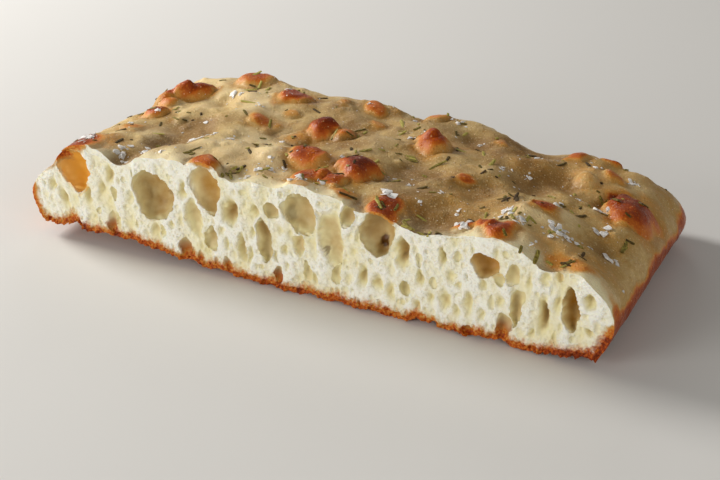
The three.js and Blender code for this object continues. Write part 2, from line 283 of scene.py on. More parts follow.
@dataclass(frozen=True)
class DoughForm:
    """The slab's form before it is cut open, in millimetres.

    Each fall of the top has the place where it starts and how far it runs. A wave has its rise,
    its spacing along and across the cut, and where it starts.
    """

    length: float = 220.0
    depth: float = 104.0
    cut_height: float = 38.9
    back_drop: float = 6.6
    left_drop: float = 5.0
    right_drop: tuple[float, float] = (5.0, 9.0)
    tip_drop: float = 5.6
    left_fall: tuple[float, float] = (-55.0, 40.0)
    right_fall: tuple[float, float] = (20.0, 90.0)
    tip_fall: tuple[float, float] = (78.0, 32.0)
    waves: tuple[tuple[float, float, float, float], ...] = ((0.7, 9, 13, 1.5), (0.6, 15, -8, 0.4))
    shoulders: tuple[float, float, float] = (21.0, 13.0, 16.0)
    fullness: tuple[float, float] = (0.45, 0.85)
    waist: float = 0.5
    tuck: float = 5.0
    waver: float = 1.4
    level: tuple[float, float] = (-28.0, 82.0)
    lift: tuple[float, float] = (4.4, 3.0)
    lift_run: tuple[float, float] = (34.0, 28.0)
    blister_skirt: float = 0.8
    dome_power: float = 0.68
    crease: float = 0.4
    oil_and_shade_ring: float = 0.5
    full_ring_rise: float = 4.0

    @property
    def cut_y(self) -> float:
        """Where the cut lies along Y."""
        return -self.depth / 2

    def base_height(self, x: np.ndarray) -> np.ndarray:
        """Height of the base above the floor: level in the middle, lifting towards both ends.

        Args:
            x: Places along the cut.

        Returns:
            The height at each place.
        """
        left = np.clip((self.level[0] - x) / self.lift_run[0], 0, 1)
        right = np.clip((x - self.level[1]) / self.lift_run[1], 0, 1)
        return self.lift[0] * left + self.lift[1] * right

    def blister_distance(self, blister: Blister, x: np.ndarray, y: np.ndarray) -> np.ndarray:
        """How far places lie from a blister's middle, where 1 is at its uneven foot.

        Args:
            blister: The blister.
            x: Places along the cut.
            y: Places across it.

        Returns:
            The distance of each place.
        """
        turn = np.arctan2(y - blister.y, x - blister.x)
        foot = lobed(turn, ((2, 0.09, blister.x), (3, 0.06, blister.y), (5, 0.035, 7 * blister.size)))
        radius = (blister.size / 2 + self.blister_skirt) * foot
        away = np.hypot(x - blister.x, y - blister.y) / radius
        near = np.flatnonzero(away < 2.2)
        uneven = lump_noise(np.column_stack((x[near], y[near])), 0.5 * blister.size + 1, seed=61)
        away[near] *= 1 + min(0.3, 3.2 / blister.size) * uneven * np.clip(away[near], 0, 1)
        return away

    def ring(self, blister: Blister, away: np.ndarray, middle: float, width: float) -> np.ndarray:
        """A ring round a blister's foot, fainter round a low one.

        Args:
            blister: The blister.
            away: How far the places lie from its middle, where 1 is at its foot.
            middle: Where the ring is strongest.
            width: How broad it is.

        Returns:
            The strength of the ring at each place.
        """
        return np.exp(-((away - middle) / width) ** 2) * min(1.0, blister.rise / self.full_ring_rise)

    def trend(self, x: np.ndarray, y: np.ndarray) -> np.ndarray:
        """Height of the top without its swells, hollows and blisters.

        Args:
            x: Places along the cut.
            y: Places across it.

        Returns:
            The height at each place.
        """
        back = np.clip(y / self.depth + 0.5, 0, 1)
        left = np.clip((self.left_fall[0] - x) / self.left_fall[1], 0, 1.3)
        right = np.clip((x - self.right_fall[0]) / self.right_fall[1], 0, 1)
        tip = np.clip((x - self.tip_fall[0]) / self.tip_fall[1], 0, 1)
        front_drop, back_drop = self.right_drop
        z = self.cut_height - self.back_drop * back ** 1.2 - self.left_drop * left ** 2
        return z - self.tip_drop * tip - (front_drop + (back_drop - front_drop) * back) * right ** 1.3

    def top_height(self, x: np.ndarray, y: np.ndarray) -> np.ndarray:
        """Height that the top has away from its shoulders.

        Args:
            x: Places along the cut.
            y: Places across it.

        Returns:
            The height at each place.
        """
        z = self.trend(x, y)
        for rise, along, across, start in self.waves:
            z = z + rise * np.sin(x / along + y / across + start)
        for swell in SWELLS:
            away = np.hypot(x - swell.x, y - swell.y) / swell.spread
            z = z + swell.rise * np.exp(-away * away / 2)
        for blister in BLISTERS:
            away = self.blister_distance(blister, x, y)
            dome = np.maximum(0, 1 - away * away) ** self.dome_power
            z = z + blister.rise * dome - self.crease * self.ring(blister, away, 1.04, 0.11)
        return z

    def toast(self, x: np.ndarray, y: np.ndarray) -> np.ndarray:
        """How brown the top crust is, from 0 for pale to 1 for nearly burnt.

        Args:
            x: Places along the cut.
            y: Places across it.

        Returns:
            The brownness of each place.
        """
        places = np.column_stack((x, y))
        patchy = lumps(places, (7.0, 3.2, 1.6), seed=41)
        clouds = lumps(places, (34.0, 15.0, 6.0), seed=77)
        soft = smooth_ramp(lump_noise(places, 7.0, seed=43), -0.4, 0.4)
        # A little darker towards the right end.
        brown = 0.12 + 0.15 * clouds + 0.07 * np.clip((x - 10) / 90, 0, 1)
        for blister in BLISTERS:
            away = self.blister_distance(blister, x, y) + 0.22 * patchy
            firm = 0.66 * smooth_ramp(away, 1.1, 0.88) + 0.34 * smooth_ramp(away, 0.92, 0.5)
            faded = 0.3 * smooth_ramp(away, 1.15, 0.8) + 0.7 * smooth_ramp(away, 0.95, 0.3)
            cap = firm + (faded - firm) * soft * min(1.0, 1.25 - blister.toast)
            halo = 0.32 * blister.toast * smooth_ramp(away, 2.0, 1.0)
            brown = np.maximum(brown, blister.toast * cap * (1.04 + 0.22 * patchy))
            brown = np.maximum(brown, halo + 0.08)
        return brown

    def flat_top(self, x: np.ndarray, y: np.ndarray) -> np.ndarray:
        """Where the top lies between the shoulders.

        Args:
            x: Places along the cut.
            y: Places across it.

        Returns:
            1 between the shoulders, fading to 0 on them.
        """
        left, right, back = self.shoulders
        half = self.length / 2
        inside = np.minimum(np.minimum(x + half - left, half - right - x), -self.cut_y - back - y)
        return smooth_ramp(inside, -7.0, 1.0)

    def tint(self, x: np.ndarray, y: np.ndarray) -> np.ndarray:
        """How much darker or paler the top is painted in its patches: painted shade and painted light.

        Args:
            x: Places along the cut.
            y: Places across it.

        Returns:
            The shade of each place, below 0 where it is paler.
        """
        shade = np.zeros(len(x))
        for tint in SHADE_PATCHES:
            away = np.hypot(x - tint.x, y - tint.y) / tint.spread
            shade += tint.shade * np.exp(-away * away / 2)
        return shade * (1 + 0.5 * lump_noise(np.column_stack((x, y)), 6.0, seed=71))

    def oil_and_shade(self, points: np.ndarray) -> np.ndarray:
        """How much oil has run together in the hollows of the top, with the painted shade of those hollows
        and of the blisters' feet, from 0 to 1.

        Args:
            points: Places on the crust.

        Returns:
            The oil and painted shade at each place.
        """
        x, y, z = points.T
        # Hollows and the darker patches: oil with painted shade.
        pool = smooth_ramp(self.trend(x, y) - z, 0.2, 3.6) + self.tint(x, y)
        pool *= self.flat_top(x, y)
        for blister in BLISTERS:
            away = self.blister_distance(blister, x, y)
            # A ring round each blister's foot: painted shade there, with its oil.
            pool = pool + self.oil_and_shade_ring * self.ring(blister, away, 1.12, 0.16)
        return np.clip(pool, 0, 1)


@dataclass
class DoughSkin:
    """The whole skin of the slab as one closed mesh, a little too deep where the knife goes."""

    form: DoughForm
    spacing: float = 0.9
    shoulder_rows: int = 17
    tuck_rows: int = 9
    spare: float = 4.0
    bubble_count: int = 620
    bubble_area: tuple[tuple[float, float], tuple[float, float]] = ((-106, 108), (-54, 48))
    bubble_radii: tuple[float, float] = (0.8, 2.7)
    bubble_rise: float = 0.26
    ripples: tuple[Ripple, ...] = (Ripple(1.6, 17.0, 20), Ripple(0.75, 8.5, 22), Ripple(0.05, 1.6, 24))

    def lines(self, low: float, high: float, before: float, after: float) -> np.ndarray:
        """Lines of the grid along one direction: rows over the shoulders, and the flat top.

        Args:
            low: Where the slab begins.
            high: Where it ends.
            before: Width of the shoulder at its beginning, or 0 for none.
            after: Width of the shoulder at its end.

        Returns:
            One row for each line: its place on the flat top, how many rows out it is with a
            sign, and the width of its shoulder.
        """
        rings = self.shoulder_rows + self.tuck_rows
        steps = round((high - after - low - before) / self.spacing)
        flat = np.linspace(low + before, high - after, steps + 1)
        rows = [(at, 0.0, 0.0) for at in flat]
        if before:
            rows = [(flat[0], -ring, before) for ring in range(rings, 0, -1)] + rows
        rows += [(flat[-1], ring, after) for ring in range(1, rings + 1)]
        return np.array(rows)

    def relief(self, points: np.ndarray) -> np.ndarray:
        """Small relief of the top crust: ripples, wrinkles and many little bubbles.

        Args:
            points: Places on the crust.

        Returns:
            The height of the relief at each place.
        """
        across, along = points[:, 0], points[:, 1]
        rise = rippled(points, self.ripples) + 0.16 * lumps(points, (4.4, 2.4), seed=21)
        draw = random.Random(19)
        least, most = self.bubble_radii
        for _ in range(self.bubble_count):
            x, y = (draw.uniform(*side) for side in self.bubble_area)
            radius = least + (most - least) * draw.random() ** 2
            near = np.flatnonzero((np.abs(across - x) < radius) & (np.abs(along - y) < radius))
            away = np.hypot(across[near] - x, along[near] - y) / radius
            rise[near] += self.bubble_rise * radius * np.maximum(0, 1 - away * away) ** 1.5
        browned = smooth_ramp(self.form.toast(across, along), 0.35, 0.7)
        return rise * (1 - 0.5 * browned) + 0.45 * browned * lumps(points, (5.0, 2.4), seed=27)

    def place(self, columns: np.ndarray, rows: np.ndarray, under: bool) -> np.ndarray:
        """Places of the skin where grid lines cross. In a corner the rows turn round it.

        Args:
            columns: The line along X of each point.
            rows: The line along Y of each point.
            under: Whether the points lie on the base instead of on the top and sides.

        Returns:
            The place of each point.
        """
        form = self.form
        rings = self.shoulder_rows + self.tuck_rows
        across, along = np.abs(columns[:, 1]), np.abs(rows[:, 1])
        ring = np.maximum(across, along)
        with np.errstate(divide="ignore", invalid="ignore"):
            turn = np.where(across >= along, along / (2 * across), 1 - across / (2 * along))
        angle = np.nan_to_num(turn) * math.pi / 2
        side_x = np.sign(columns[:, 1]) * np.cos(angle)
        side_y = np.sign(rows[:, 1]) * np.sin(angle)
        way = np.clip(ring / self.shoulder_rows, 0, 1)
        drop = np.clip((ring - self.shoulder_rows) / self.tuck_rows, 0, 1)
        if under:
            way, drop = np.where(ring > 0, 1.0, 0.0), np.ones(len(ring))
        to_right = np.maximum(0, side_x)
        fullness = form.fullness[0] + (form.fullness[1] - form.fullness[0]) * to_right
        out = way + (np.sin(way * math.pi / 2) - way) * fullness
        wave = (1 + np.cos((columns[:, 0] - rows[:, 0]) / 8)) / 2
        drawn_in = form.tuck * drop ** 2 + wave * form.waver * out * (1 - drop) * (1 - to_right)
        shrink = ring / rings if under else 1.0
        x = columns[:, 0] + side_x * np.maximum(0, out * columns[:, 2] - drawn_in) * shrink
        y = rows[:, 0] + side_y * np.maximum(0, out * rows[:, 2] - drawn_in) * shrink
        base = form.base_height(x)
        if under:
            places = np.column_stack((x, y))
            pits = np.clip(lumps(places, (5.0, 2.4), seed=9) - 0.05, 0, 1) * 4.0
            pits += 0.7 * np.abs(lump_noise(places, 2.0, seed=3))
            return np.column_stack((x, y, base + pits * (1 - shrink ** 6)))
        top = form.top_height(x, y)
        waist = base + (top - base) * form.waist
        lift = np.cos(way * math.pi / 2)
        points = np.column_stack((x, y, waist + (base - waist) * drop + (top - waist) * lift))
        fade = 1 - smooth_ramp(drop, 0.8, 1.0)
        points[:, 2] += self.relief(points) * fade * lift ** 0.7
        rough = 0.55 * lumps(points, (6.0, 3.0), seed=31) + 0.25 * lumps(points, (1.9, 1.1), seed=5)
        inwards = (rough - 0.55) * fade * (1 - lift) * (0.55 + 0.45 * smooth_ramp(-x, 60, 100))
        points[:, 0] += inwards * side_x
        points[:, 1] += inwards * side_y
        return points

    def mesh(self) -> bpy.types.Mesh:
        """Builds the closed skin.

        Returns:
            The mesh, in millimetres.
        """
        form = self.form
        half = form.length / 2
        columns = self.lines(-half, half, form.shoulders[0], form.shoulders[1])
        rows = self.lines(form.cut_y - self.spare, -form.cut_y, 0, form.shoulders[2])
        bm = bmesh.new()
        for under in (False, True):
            made = bmesh.ops.create_grid(
                bm, x_segments=len(columns) - 1, y_segments=len(rows) - 1, size=1.0)
            spots = np.array([vert.co[:2] for vert in made["verts"]])
            i = np.rint((spots[:, 0] + 1) / 2 * (len(columns) - 1)).astype(int)
            j = np.rint((spots[:, 1] + 1) / 2 * (len(rows) - 1)).astype(int)
            for vert, point in zip(made["verts"], self.place(columns[i], rows[j], under)):
                vert.co = point
        inner = [vert for vert in made["verts"] if not vert.is_boundary]
        bmesh.ops.unsubdivide(bm, verts=inner, iterations=4)
        bmesh.ops.remove_doubles(bm, verts=bm.verts, dist=1e-4)
        open_edges = [edge for edge in bm.edges if edge.is_boundary]
        bmesh.ops.contextual_create(bm, geom=open_edges)
        bmesh.ops.recalc_face_normals(bm, faces=bm.faces)
        return to_mesh(bm, "dough_skin")


def lay_out(name: str, data: bpy.types.ID) -> bpy.types.Object:
    """Puts a mesh, lamp or camera into the scene.

    Args:
        name: The object's name.
        data: What it shows.

    Returns:
        The object.
    """
    thing = bpy.data.objects.new(name, data)
    bpy.context.collection.objects.link(thing)
    return thing


def to_mesh(bm: bmesh.types.BMesh, name: str) -> bpy.types.Mesh:
    """Writes a bmesh to a new mesh and frees it.

    Args:
        bm: The bmesh.
        name: The mesh's name.

    Returns:
        The new mesh.
    """
    mesh = bpy.data.meshes.new(name)
    bm.to_mesh(mesh)
    bm.free()
    return mesh


# ---------------------------------------------------------------------------------------- crumb


class CellKind(Enum):
    """How the knife met a gas cell."""

    OPEN = "open"
    GRAZED = "grazed"
    SOFT = "soft"
    # inner: a small deep pore, painted dark as its shade
    INNER = "inner"


@dataclass(frozen=True)
class GasCell:
    """A gas cell on the cut, in millimetres.

    Glaze says how golden its wall is, for an inner cell how dark its painted shade is, and below 0
    how much of the painted shade deep in the cell it takes away; taper how much narrower it is below
    than above, and slant how much deeper it is on the right than on the left.
    """

    x: float
    z: float
    width: float
    height: float
    kind: CellKind = CellKind.OPEN
    glaze: float = 0.0
    lean: float = 0.0
    deep: float = 0.62
    taper: float = 0.0
    slant: float = 0.0


OPEN, GRAZED, SOFT, INNER = CellKind.OPEN, CellKind.GRAZED, CellKind.SOFT, CellKind.INNER

GAS_CELLS = (
    GasCell(-56.2, 24.4, 17.2, 17.8, glaze=-0.2, deep=0.5, taper=0.25, slant=0.1),
    GasCell(-34.2, 31.6, 11.2, 17, glaze=0.1, lean=0.32, deep=0.45, taper=0.4, slant=0.6),
    GasCell(-88.8, 28.3, 12.6, 15.5, glaze=0.75, lean=0.1, deep=0.6, taper=0.3, slant=0.45),
    GasCell(1.6, 31, 12.4, 15, glaze=-0.2, deep=0.5, lean=0.08),
    GasCell(30, 30, 12.2, 15.3, glaze=-0.15, taper=0.2),
    GasCell(13.5, 24, 9.4, 25, GRAZED, lean=0.1, deep=0.34, taper=0.2),
    GasCell(19.3, 34.3, 5.6, 9, lean=-0.3, taper=0.3), GasCell(23.3, 27.5, 3.0, 8.5, SOFT, deep=0.45),
    GasCell(95.6, 18.6, 5.6, 15.5, glaze=0.05, lean=0.1, deep=1.0, taper=-0.1),
    GasCell(91.6, 29.5, 2.6, 3.6, glaze=0.1, deep=0.9), GasCell(87, 14, 5.2, 20, SOFT, deep=0.75),
    GasCell(87, 28, 4.4, 9.4, SOFT, deep=0.45), GasCell(-40, 20, 7.4, 16.5, GRAZED, lean=0.12, deep=0.4),
    GasCell(-12, 18, 5.6, 16, lean=0.1, taper=-0.1), GasCell(67, 27.6, 8.6, 8.8, glaze=0.2, deep=0.8),
    GasCell(39, 25, 6.9, 16, SOFT, lean=-0.12, deep=0.63), GasCell(101.5, 23.5, 6.5, 9, SOFT, deep=0.51),
    GasCell(78, 15, 4.6, 13.4, lean=-0.12, taper=0.2), GasCell(-33, 13.6, 5.4, 11, lean=-0.14, taper=0.15),
    GasCell(-25, 26, 7.6, 15, SOFT, lean=-0.12, deep=0.63), GasCell(-21, 13, 3.8, 12.8, GRAZED),
    GasCell(-16, 28, 4.2, 10, SOFT, deep=0.6), GasCell(-16.5, 20, 3.6, 7, SOFT, deep=0.51),
    GasCell(-27, 13.6, 3.0, 7, SOFT, deep=0.54), GasCell(1, 19.5, 5.0, 8.6, GRAZED, taper=0.3),
    GasCell(74, 6.8, 4.4, 10.6, glaze=0.4), GasCell(45, 18, 4.5, 12, SOFT, deep=0.51),
    GasCell(45, 24.5, 2.7, 5.1, lean=0.2), GasCell(-44, 8.0, 4.4, 8.2, glaze=0.35),
    GasCell(-9, 29.6, 5.9, 6.4, taper=0.2), GasCell(-75, 10.6, 3.4, 9.4, glaze=0.25),
    GasCell(15, 11, 3.6, 7.6), GasCell(4, 10, 3.4, 7.6, taper=-0.2), GasCell(102, 12, 4.1, 5, SOFT),
    GasCell(62, 13, 4.6, 13, SOFT, deep=0.45), GasCell(-7, 6.4, 3.4, 7.4, glaze=0.5),
    GasCell(76.3, 26.4, 3.8, 7.4, glaze=0.05), GasCell(70, 15, 1.9, 5.8),
    GasCell(-27, 5.6, 2.6, 5, glaze=0.6), GasCell(40, 12.5, 4.1, 5.6, lean=0.3, taper=0.3),
    GasCell(-89, 7.0, 3.8, 4.2, SOFT, glaze=0.3, deep=0.75), GasCell(-72.5, 22.6, 3.4, 5.2),
    GasCell(72, 24, 3.8, 5.0, taper=0.3), GasCell(-79.5, 14.5, 2.4, 2.8), GasCell(50, 17, 2.7, 4.2),
    GasCell(57.6, 28.6, 2.7, 3.8), GasCell(-53, 12, 3.2, 5, GRAZED),
    GasCell(-49, 16, 3.2, 6.4, SOFT, deep=0.6), GasCell(-66, 8.4, 2.5, 2.2),
    GasCell(-38, 6, 2.6, 3.6, glaze=0.5), GasCell(53, 27, 4.4, 11, SOFT, deep=0.63),
    GasCell(30, 12.5, 4.9, 10, SOFT, deep=0.45), GasCell(66.6, 20.5, 3.0, 4.8, GRAZED),
    GasCell(-84, 20, 4.2, 9, SOFT), GasCell(-74, 29, 6, 11, SOFT, deep=0.45),
    GasCell(62, 2.6, 4.8, 3.4, glaze=0.8), GasCell(-20, 34.4, 2.6, 2.2),
    GasCell(-44, 30, 5, 12, SOFT, deep=0.45), GasCell(8.6, 33, 2.0, 2.4, glaze=0.1),
    GasCell(82, 25, 3.0, 12, SOFT, deep=0.45),
    GasCell(-3.2, 28.8, 3.0, 5.4, INNER, glaze=0.35, lean=0.2, deep=0.2),
    GasCell(30.2, 25, 3.0, 4.8, INNER, glaze=1, deep=0.4),
    GasCell(11.0, 18.6, 2.0, 5, INNER, glaze=0.6, deep=0.2), GasCell(-61, 22, 5.5, 11, INNER, deep=0.16),
    GasCell(-53.5, 24, 2.6, 2.2, INNER, glaze=0.35, deep=0.2),
    GasCell(-51.5, 19, 1.8, 1.6, INNER, glaze=0.3, deep=0.2),
    GasCell(-56, 20, 2, 1.6, INNER, glaze=0.2, deep=0.2),
)


@dataclass(frozen=True)
class Crowd:
    """A crowd of smaller gas cells: how many, and the range of their sizes, in millimetres."""

    kind: CellKind
    count: int
    widths: tuple[float, float]
    aspects: tuple[float, float]
    gap: float
    skin: float
    deep: float
    sinking: float = 1.1


CROWDS = (
    Crowd(SOFT, 44, (3.6, 7.0), (1.6, 3.4), -1.0, 1.2, 0.46),
    Crowd(GRAZED, 22, (2.2, 4.0), (1.5, 2.8), -0.2, 1.8, 0.3),
    Crowd(OPEN, 40, (1.3, 2.4), (1.2, 2.6), 0.7, 1.4, 0.6, 1.5),
    Crowd(SOFT, 150, (1.8, 3.8), (1.1, 2.6), -0.7, 0.8, 0.4),
    Crowd(OPEN, 300, (0.8, 1.4), (0.9, 1.8), 0.5, 1.0, 0.5, 1.9),
)


@dataclass
class CrumbFace:
    """The cut side: a block with a fine front face, pressed in where gas cells were opened."""

    form: DoughForm
    spacing: float = 0.4
    margin: float = 3.0
    height: float = 50.0
    seed: int = 3
    opening: float = math.radians(104)
    tears: tuple[float, float] = (0.55, 0.28)
    grains: tuple[Ripple, ...] = (Ripple(0.7, 1.6, 15), Ripple(0.3, 0.8, 16))
    cells: list[GasCell] = field(default_factory=list)

    def clear_of(self, cell: GasCell, spots: np.ndarray, gap: float) -> bool:
        """Whether a cell leaves a wall between itself and the cells already placed.

        Args:
            cell: The new cell.
            spots: Place, width and height of the cells already placed.
            gap: Thickness of the wall, below 0 where they may run together.

        Returns:
            Whether it is clear of them all.
        """
        wide = np.maximum((spots[:, 2] + cell.width) / 2 + gap, 0.1)
        tall = np.maximum((spots[:, 3] + cell.height) / 2 + gap, 0.1)
        away = ((spots[:, 0] - cell.x) / wide) ** 2 + ((spots[:, 1] - cell.z) / tall) ** 2
        return bool((away > 1).all())

    def in_dough(self, cell: GasCell, skin: float) -> bool:
        """Whether a cell keeps clear of the crust all round.

        Args:
            cell: The cell.
            skin: How thick the crust is.

        Returns:
            Whether it lies inside.
        """
        form = self.form
        x = cell.x + cell.width * np.array([-0.5, 0, 0.5])
        top = form.top_height(x, np.full(3, form.cut_y))
        ends = np.minimum(x + form.length / 2, form.length / 2 - x)
        base = form.base_height(x)
        edge = np.clip(ends / 17, 0.02, 1)
        roof = base + (top - base) * (form.waist + (1 - form.waist) * np.sin(edge * math.pi / 2))
        low = cell.z - cell.height / 2 > (base + skin + (1 - edge) * 9).max()
        return bool(low and cell.z + cell.height / 2 < (roof - skin).min() and ends.min() > 2.5)

    def fill(self) -> None:
        """Adds seeded smaller cells between the named ones, the larger ones first."""
        draw = random.Random(self.seed)
        placed = [cell for cell in GAS_CELLS if cell.kind is not INNER]
        for crowd in CROWDS:
            left = crowd.count
            spots = [(cell.x, cell.z, cell.width, cell.height) for cell in placed]
            for _ in range(crowd.count * 14):
                least, most = crowd.widths
                width = least + (most - least) * draw.random() ** 1.6
                aspect = draw.uniform(*crowd.aspects)
                x = (draw.random() - 0.5) * self.form.length
                z = 1.5 + 38 * draw.random() ** crowd.sinking
                lean = draw.uniform(-0.25, 0.25)
                deep = crowd.deep * draw.uniform(0.8, 1.2)
                cell = GasCell(x, z, width, width * aspect, crowd.kind, 0.0, lean, deep)
                if left and self.in_dough(cell, crowd.skin) and self.clear_of(
                        cell, np.array(spots), crowd.gap):
                    placed.append(cell)
                    spots.append((x, z, width, width * aspect))
                    left -= 1
        self.cells = placed + [cell for cell in GAS_CELLS if cell.kind is INNER]
        log.info("crumb: %d gas cells", len(self.cells))

    def rim_distance(self, cell: GasCell, x: np.ndarray, z: np.ndarray) -> np.ndarray:
        """How far places lie from a cell's middle, where 1 is at its uneven rim.

        Args:
            cell: The cell.
            x: Places along the cut.
            z: Their heights.

        Returns:
            The distance of each place.
        """
        lean_cos, lean_sin = math.cos(cell.lean), math.sin(cell.lean)
        near = np.flatnonzero(np.maximum(np.abs(x - cell.x), np.abs(z - cell.z)) < cell.height + cell.width)
        places = np.column_stack((x[near], z[near]))
        torn = min(1.0, (cell.width + cell.height) / 12)
        dx, dz = x - cell.x, z - cell.z
        coarse, fine = self.tears
        for shift, seed in ((dx, 51), (dz, 53)):
            ragged = rippled(places, (Ripple(coarse, 3.4, seed), Ripple(fine, 1.3, seed + 1)))
            shift[near] += torn * ragged
        v = (dz * lean_cos - dx * lean_sin) / (cell.height / 2)
        u = (dx * lean_cos + dz * lean_sin) / (cell.width / 2 * (1 + cell.taper * np.clip(v, -1, 1)))
        turn = np.arctan2(v, u)
        phase = cell.x * 1.7 + cell.z
        rim = lobed(turn, ((2, 0.05, phase), (3, 0.06, 2 * phase), (5, 0.035, 3 * phase)))
        return np.hypot(u, v) / rim

    def knife_wave(self, x: np.ndarray, z: np.ndarray) -> np.ndarray:
        """How far the knife strayed from a flat cut.

        Args:
            x: Places along the cut.
            z: Their heights.

        Returns:
            How far behind the flat cut the crumb begins.
        """
        return 0.4 + 0.4 * lump_noise(np.column_stack((x, z)), 24.0, seed=6)

    def press(self, points: np.ndarray) -> np.ndarray:
        """Presses the gas cells into the points of the cut.

        Args:
            points: Places on the plane of the cut.

        Returns:
            The pressed places.
        """
        x, z = points[:, 0].copy(), points[:, 2].copy()
        depth = np.zeros(len(points))
        for cell in self.cells:
            reach = 0.8 * max(cell.width, cell.height)
            near = np.flatnonzero((np.abs(x - cell.x) < reach) & (np.abs(z - cell.z) < reach))
            rim = self.rim_distance(cell, x[near], z[near])
            near, rim = near[rim < 1], rim[rim < 1]
            narrow, broad = sorted((cell.width, cell.height))
            full = cell.deep * narrow ** 0.8 * broad ** 0.2
            if cell.kind is OPEN:
                angle = rim * self.opening
                bowl = (np.cos(angle) - math.cos(self.opening)) / (1 - math.cos(self.opening))
                spread = np.where(rim < 0.05, self.opening, np.sin(angle) / np.maximum(rim, 0.05))
                spread /= math.sin(self.opening)
                across = np.clip((x[near] - cell.x) / (cell.width / 2), -1, 1)
                points[near, 0] = cell.x + (x[near] - cell.x) * spread
                points[near, 2] = cell.z + (z[near] - cell.z) * spread
                depth[near] = np.maximum(depth[near], full * bowl * (1 + cell.slant * across))
            elif cell.kind is GRAZED:
                cap = (np.sqrt(1 - 0.75 * rim ** 2) - 0.5) * 2
                depth[near] = np.maximum(depth[near], full * cap)
            elif cell.kind is SOFT:
                depth[near] += 0.5 * full * (1 + np.cos(rim * math.pi)) * np.exp(-depth[near] / 2)
            else:
                depth[near] += full * smooth_ramp(rim, 1.0, 0.6) * smooth_ramp(depth[near], 0.5, 2.0)
        points[:, 1] += np.maximum(self.sponge(x, z, depth), 0) + self.knife_wave(x, z)
        return self.keep_skin(points)

    def sponge(self, x: np.ndarray, z: np.ndarray, depth: np.ndarray) -> np.ndarray:
        """Roughens the cut with tiny bubbles in patches, upright folds and coarse grains at the base.

        Args:
            x: Places along the cut.
            z: Their heights.
            depth: How deep the gas cells go there.

        Returns:
            The depth with the roughness added.
        """
        places = np.column_stack((x, z))
        low = z - self.form.base_height(x)
        patches = 0.5 + 0.5 * smooth_ramp(lump_noise(places, 8.0, seed=33), -0.3, 0.5)
        patches = np.maximum(patches, smooth_ramp(low, 9.0, 5.0))
        bubbles = patches * 0.55 * froth(places * (1.0, 0.75), 1.9, seed=8)
        bubbles += 0.12 * lumps(places, (4.5, 2.0), seed=2)
        folds = 0.8 * lump_noise(places * (1.0, 0.3), 4.2, seed=14)
        depth = depth + (bubbles + folds + 0.4) * np.exp(-depth / 2.0)
        depth += 0.22 * lump_noise(places, 2.8, seed=12) * smooth_ramp(depth, 0.5, 3.0)
        return depth + (0.5 + rippled(places, self.grains)) * smooth_ramp(low, 3.4, 1.4)

    def keep_skin(self, points: np.ndarray) -> np.ndarray:
        """Makes cells shallower where they would break through the top crust behind the cut.

        Args:
            points: The pressed places.

        Returns:
            The corrected places.
        """
        plane = self.form.cut_y
        for _ in range(6):
            roof = self.form.top_height(points[:, 0], points[:, 1]) - 1.4
            deep = points[:, 1] > plane + 1.2
            thin = deep & (points[:, 2] > roof) & (points[:, 2] < roof + 3)
            points[thin, 1] = plane + (points[thin, 1] - plane) * 0.75
        return points

    def mesh(self) -> bpy.types.Mesh:
        """Builds the block behind the cut.

        Returns:
            The closed mesh, in millimetres.
        """
        self.fill()
        form = self.form
        wide = form.length + 2 * self.margin
        bm = bmesh.new()
        bmesh.ops.create_grid(
            bm, x_segments=round(wide / self.spacing), y_segments=round(self.height / self.spacing),
            size=0.5, matrix=Matrix.Rotation(math.pi / 2, 4, "X"))
        bmesh.ops.scale(bm, vec=(wide, 1, self.height), verts=bm.verts)
        middle = self.height / 2 - self.margin
        bmesh.ops.translate(bm, vec=(0, form.cut_y, middle), verts=bm.verts)
        flat = np.array([vert.co for vert in bm.verts])
        for vert, point in zip(bm.verts, self.press(flat)):
            vert.co = point
        rim = [edge for edge in bm.edges if edge.is_boundary]
        back = bmesh.ops.extrude_edge_only(bm, edges=rim)["geom"]
        back_verts = [part for part in back if isinstance(part, bmesh.types.BMVert)]
        back_edges = [part for part in back if isinstance(part, bmesh.types.BMEdge)]
        for vert in back_verts:
            vert.co.y = form.depth / 2 + self.margin
        bmesh.ops.contextual_create(bm, geom=back_edges)
        bmesh.ops.recalc_face_normals(bm, faces=bm.faces)
        return to_mesh(bm, "crumb_block")


# ------------------------------------------------------------------------------------- finishes


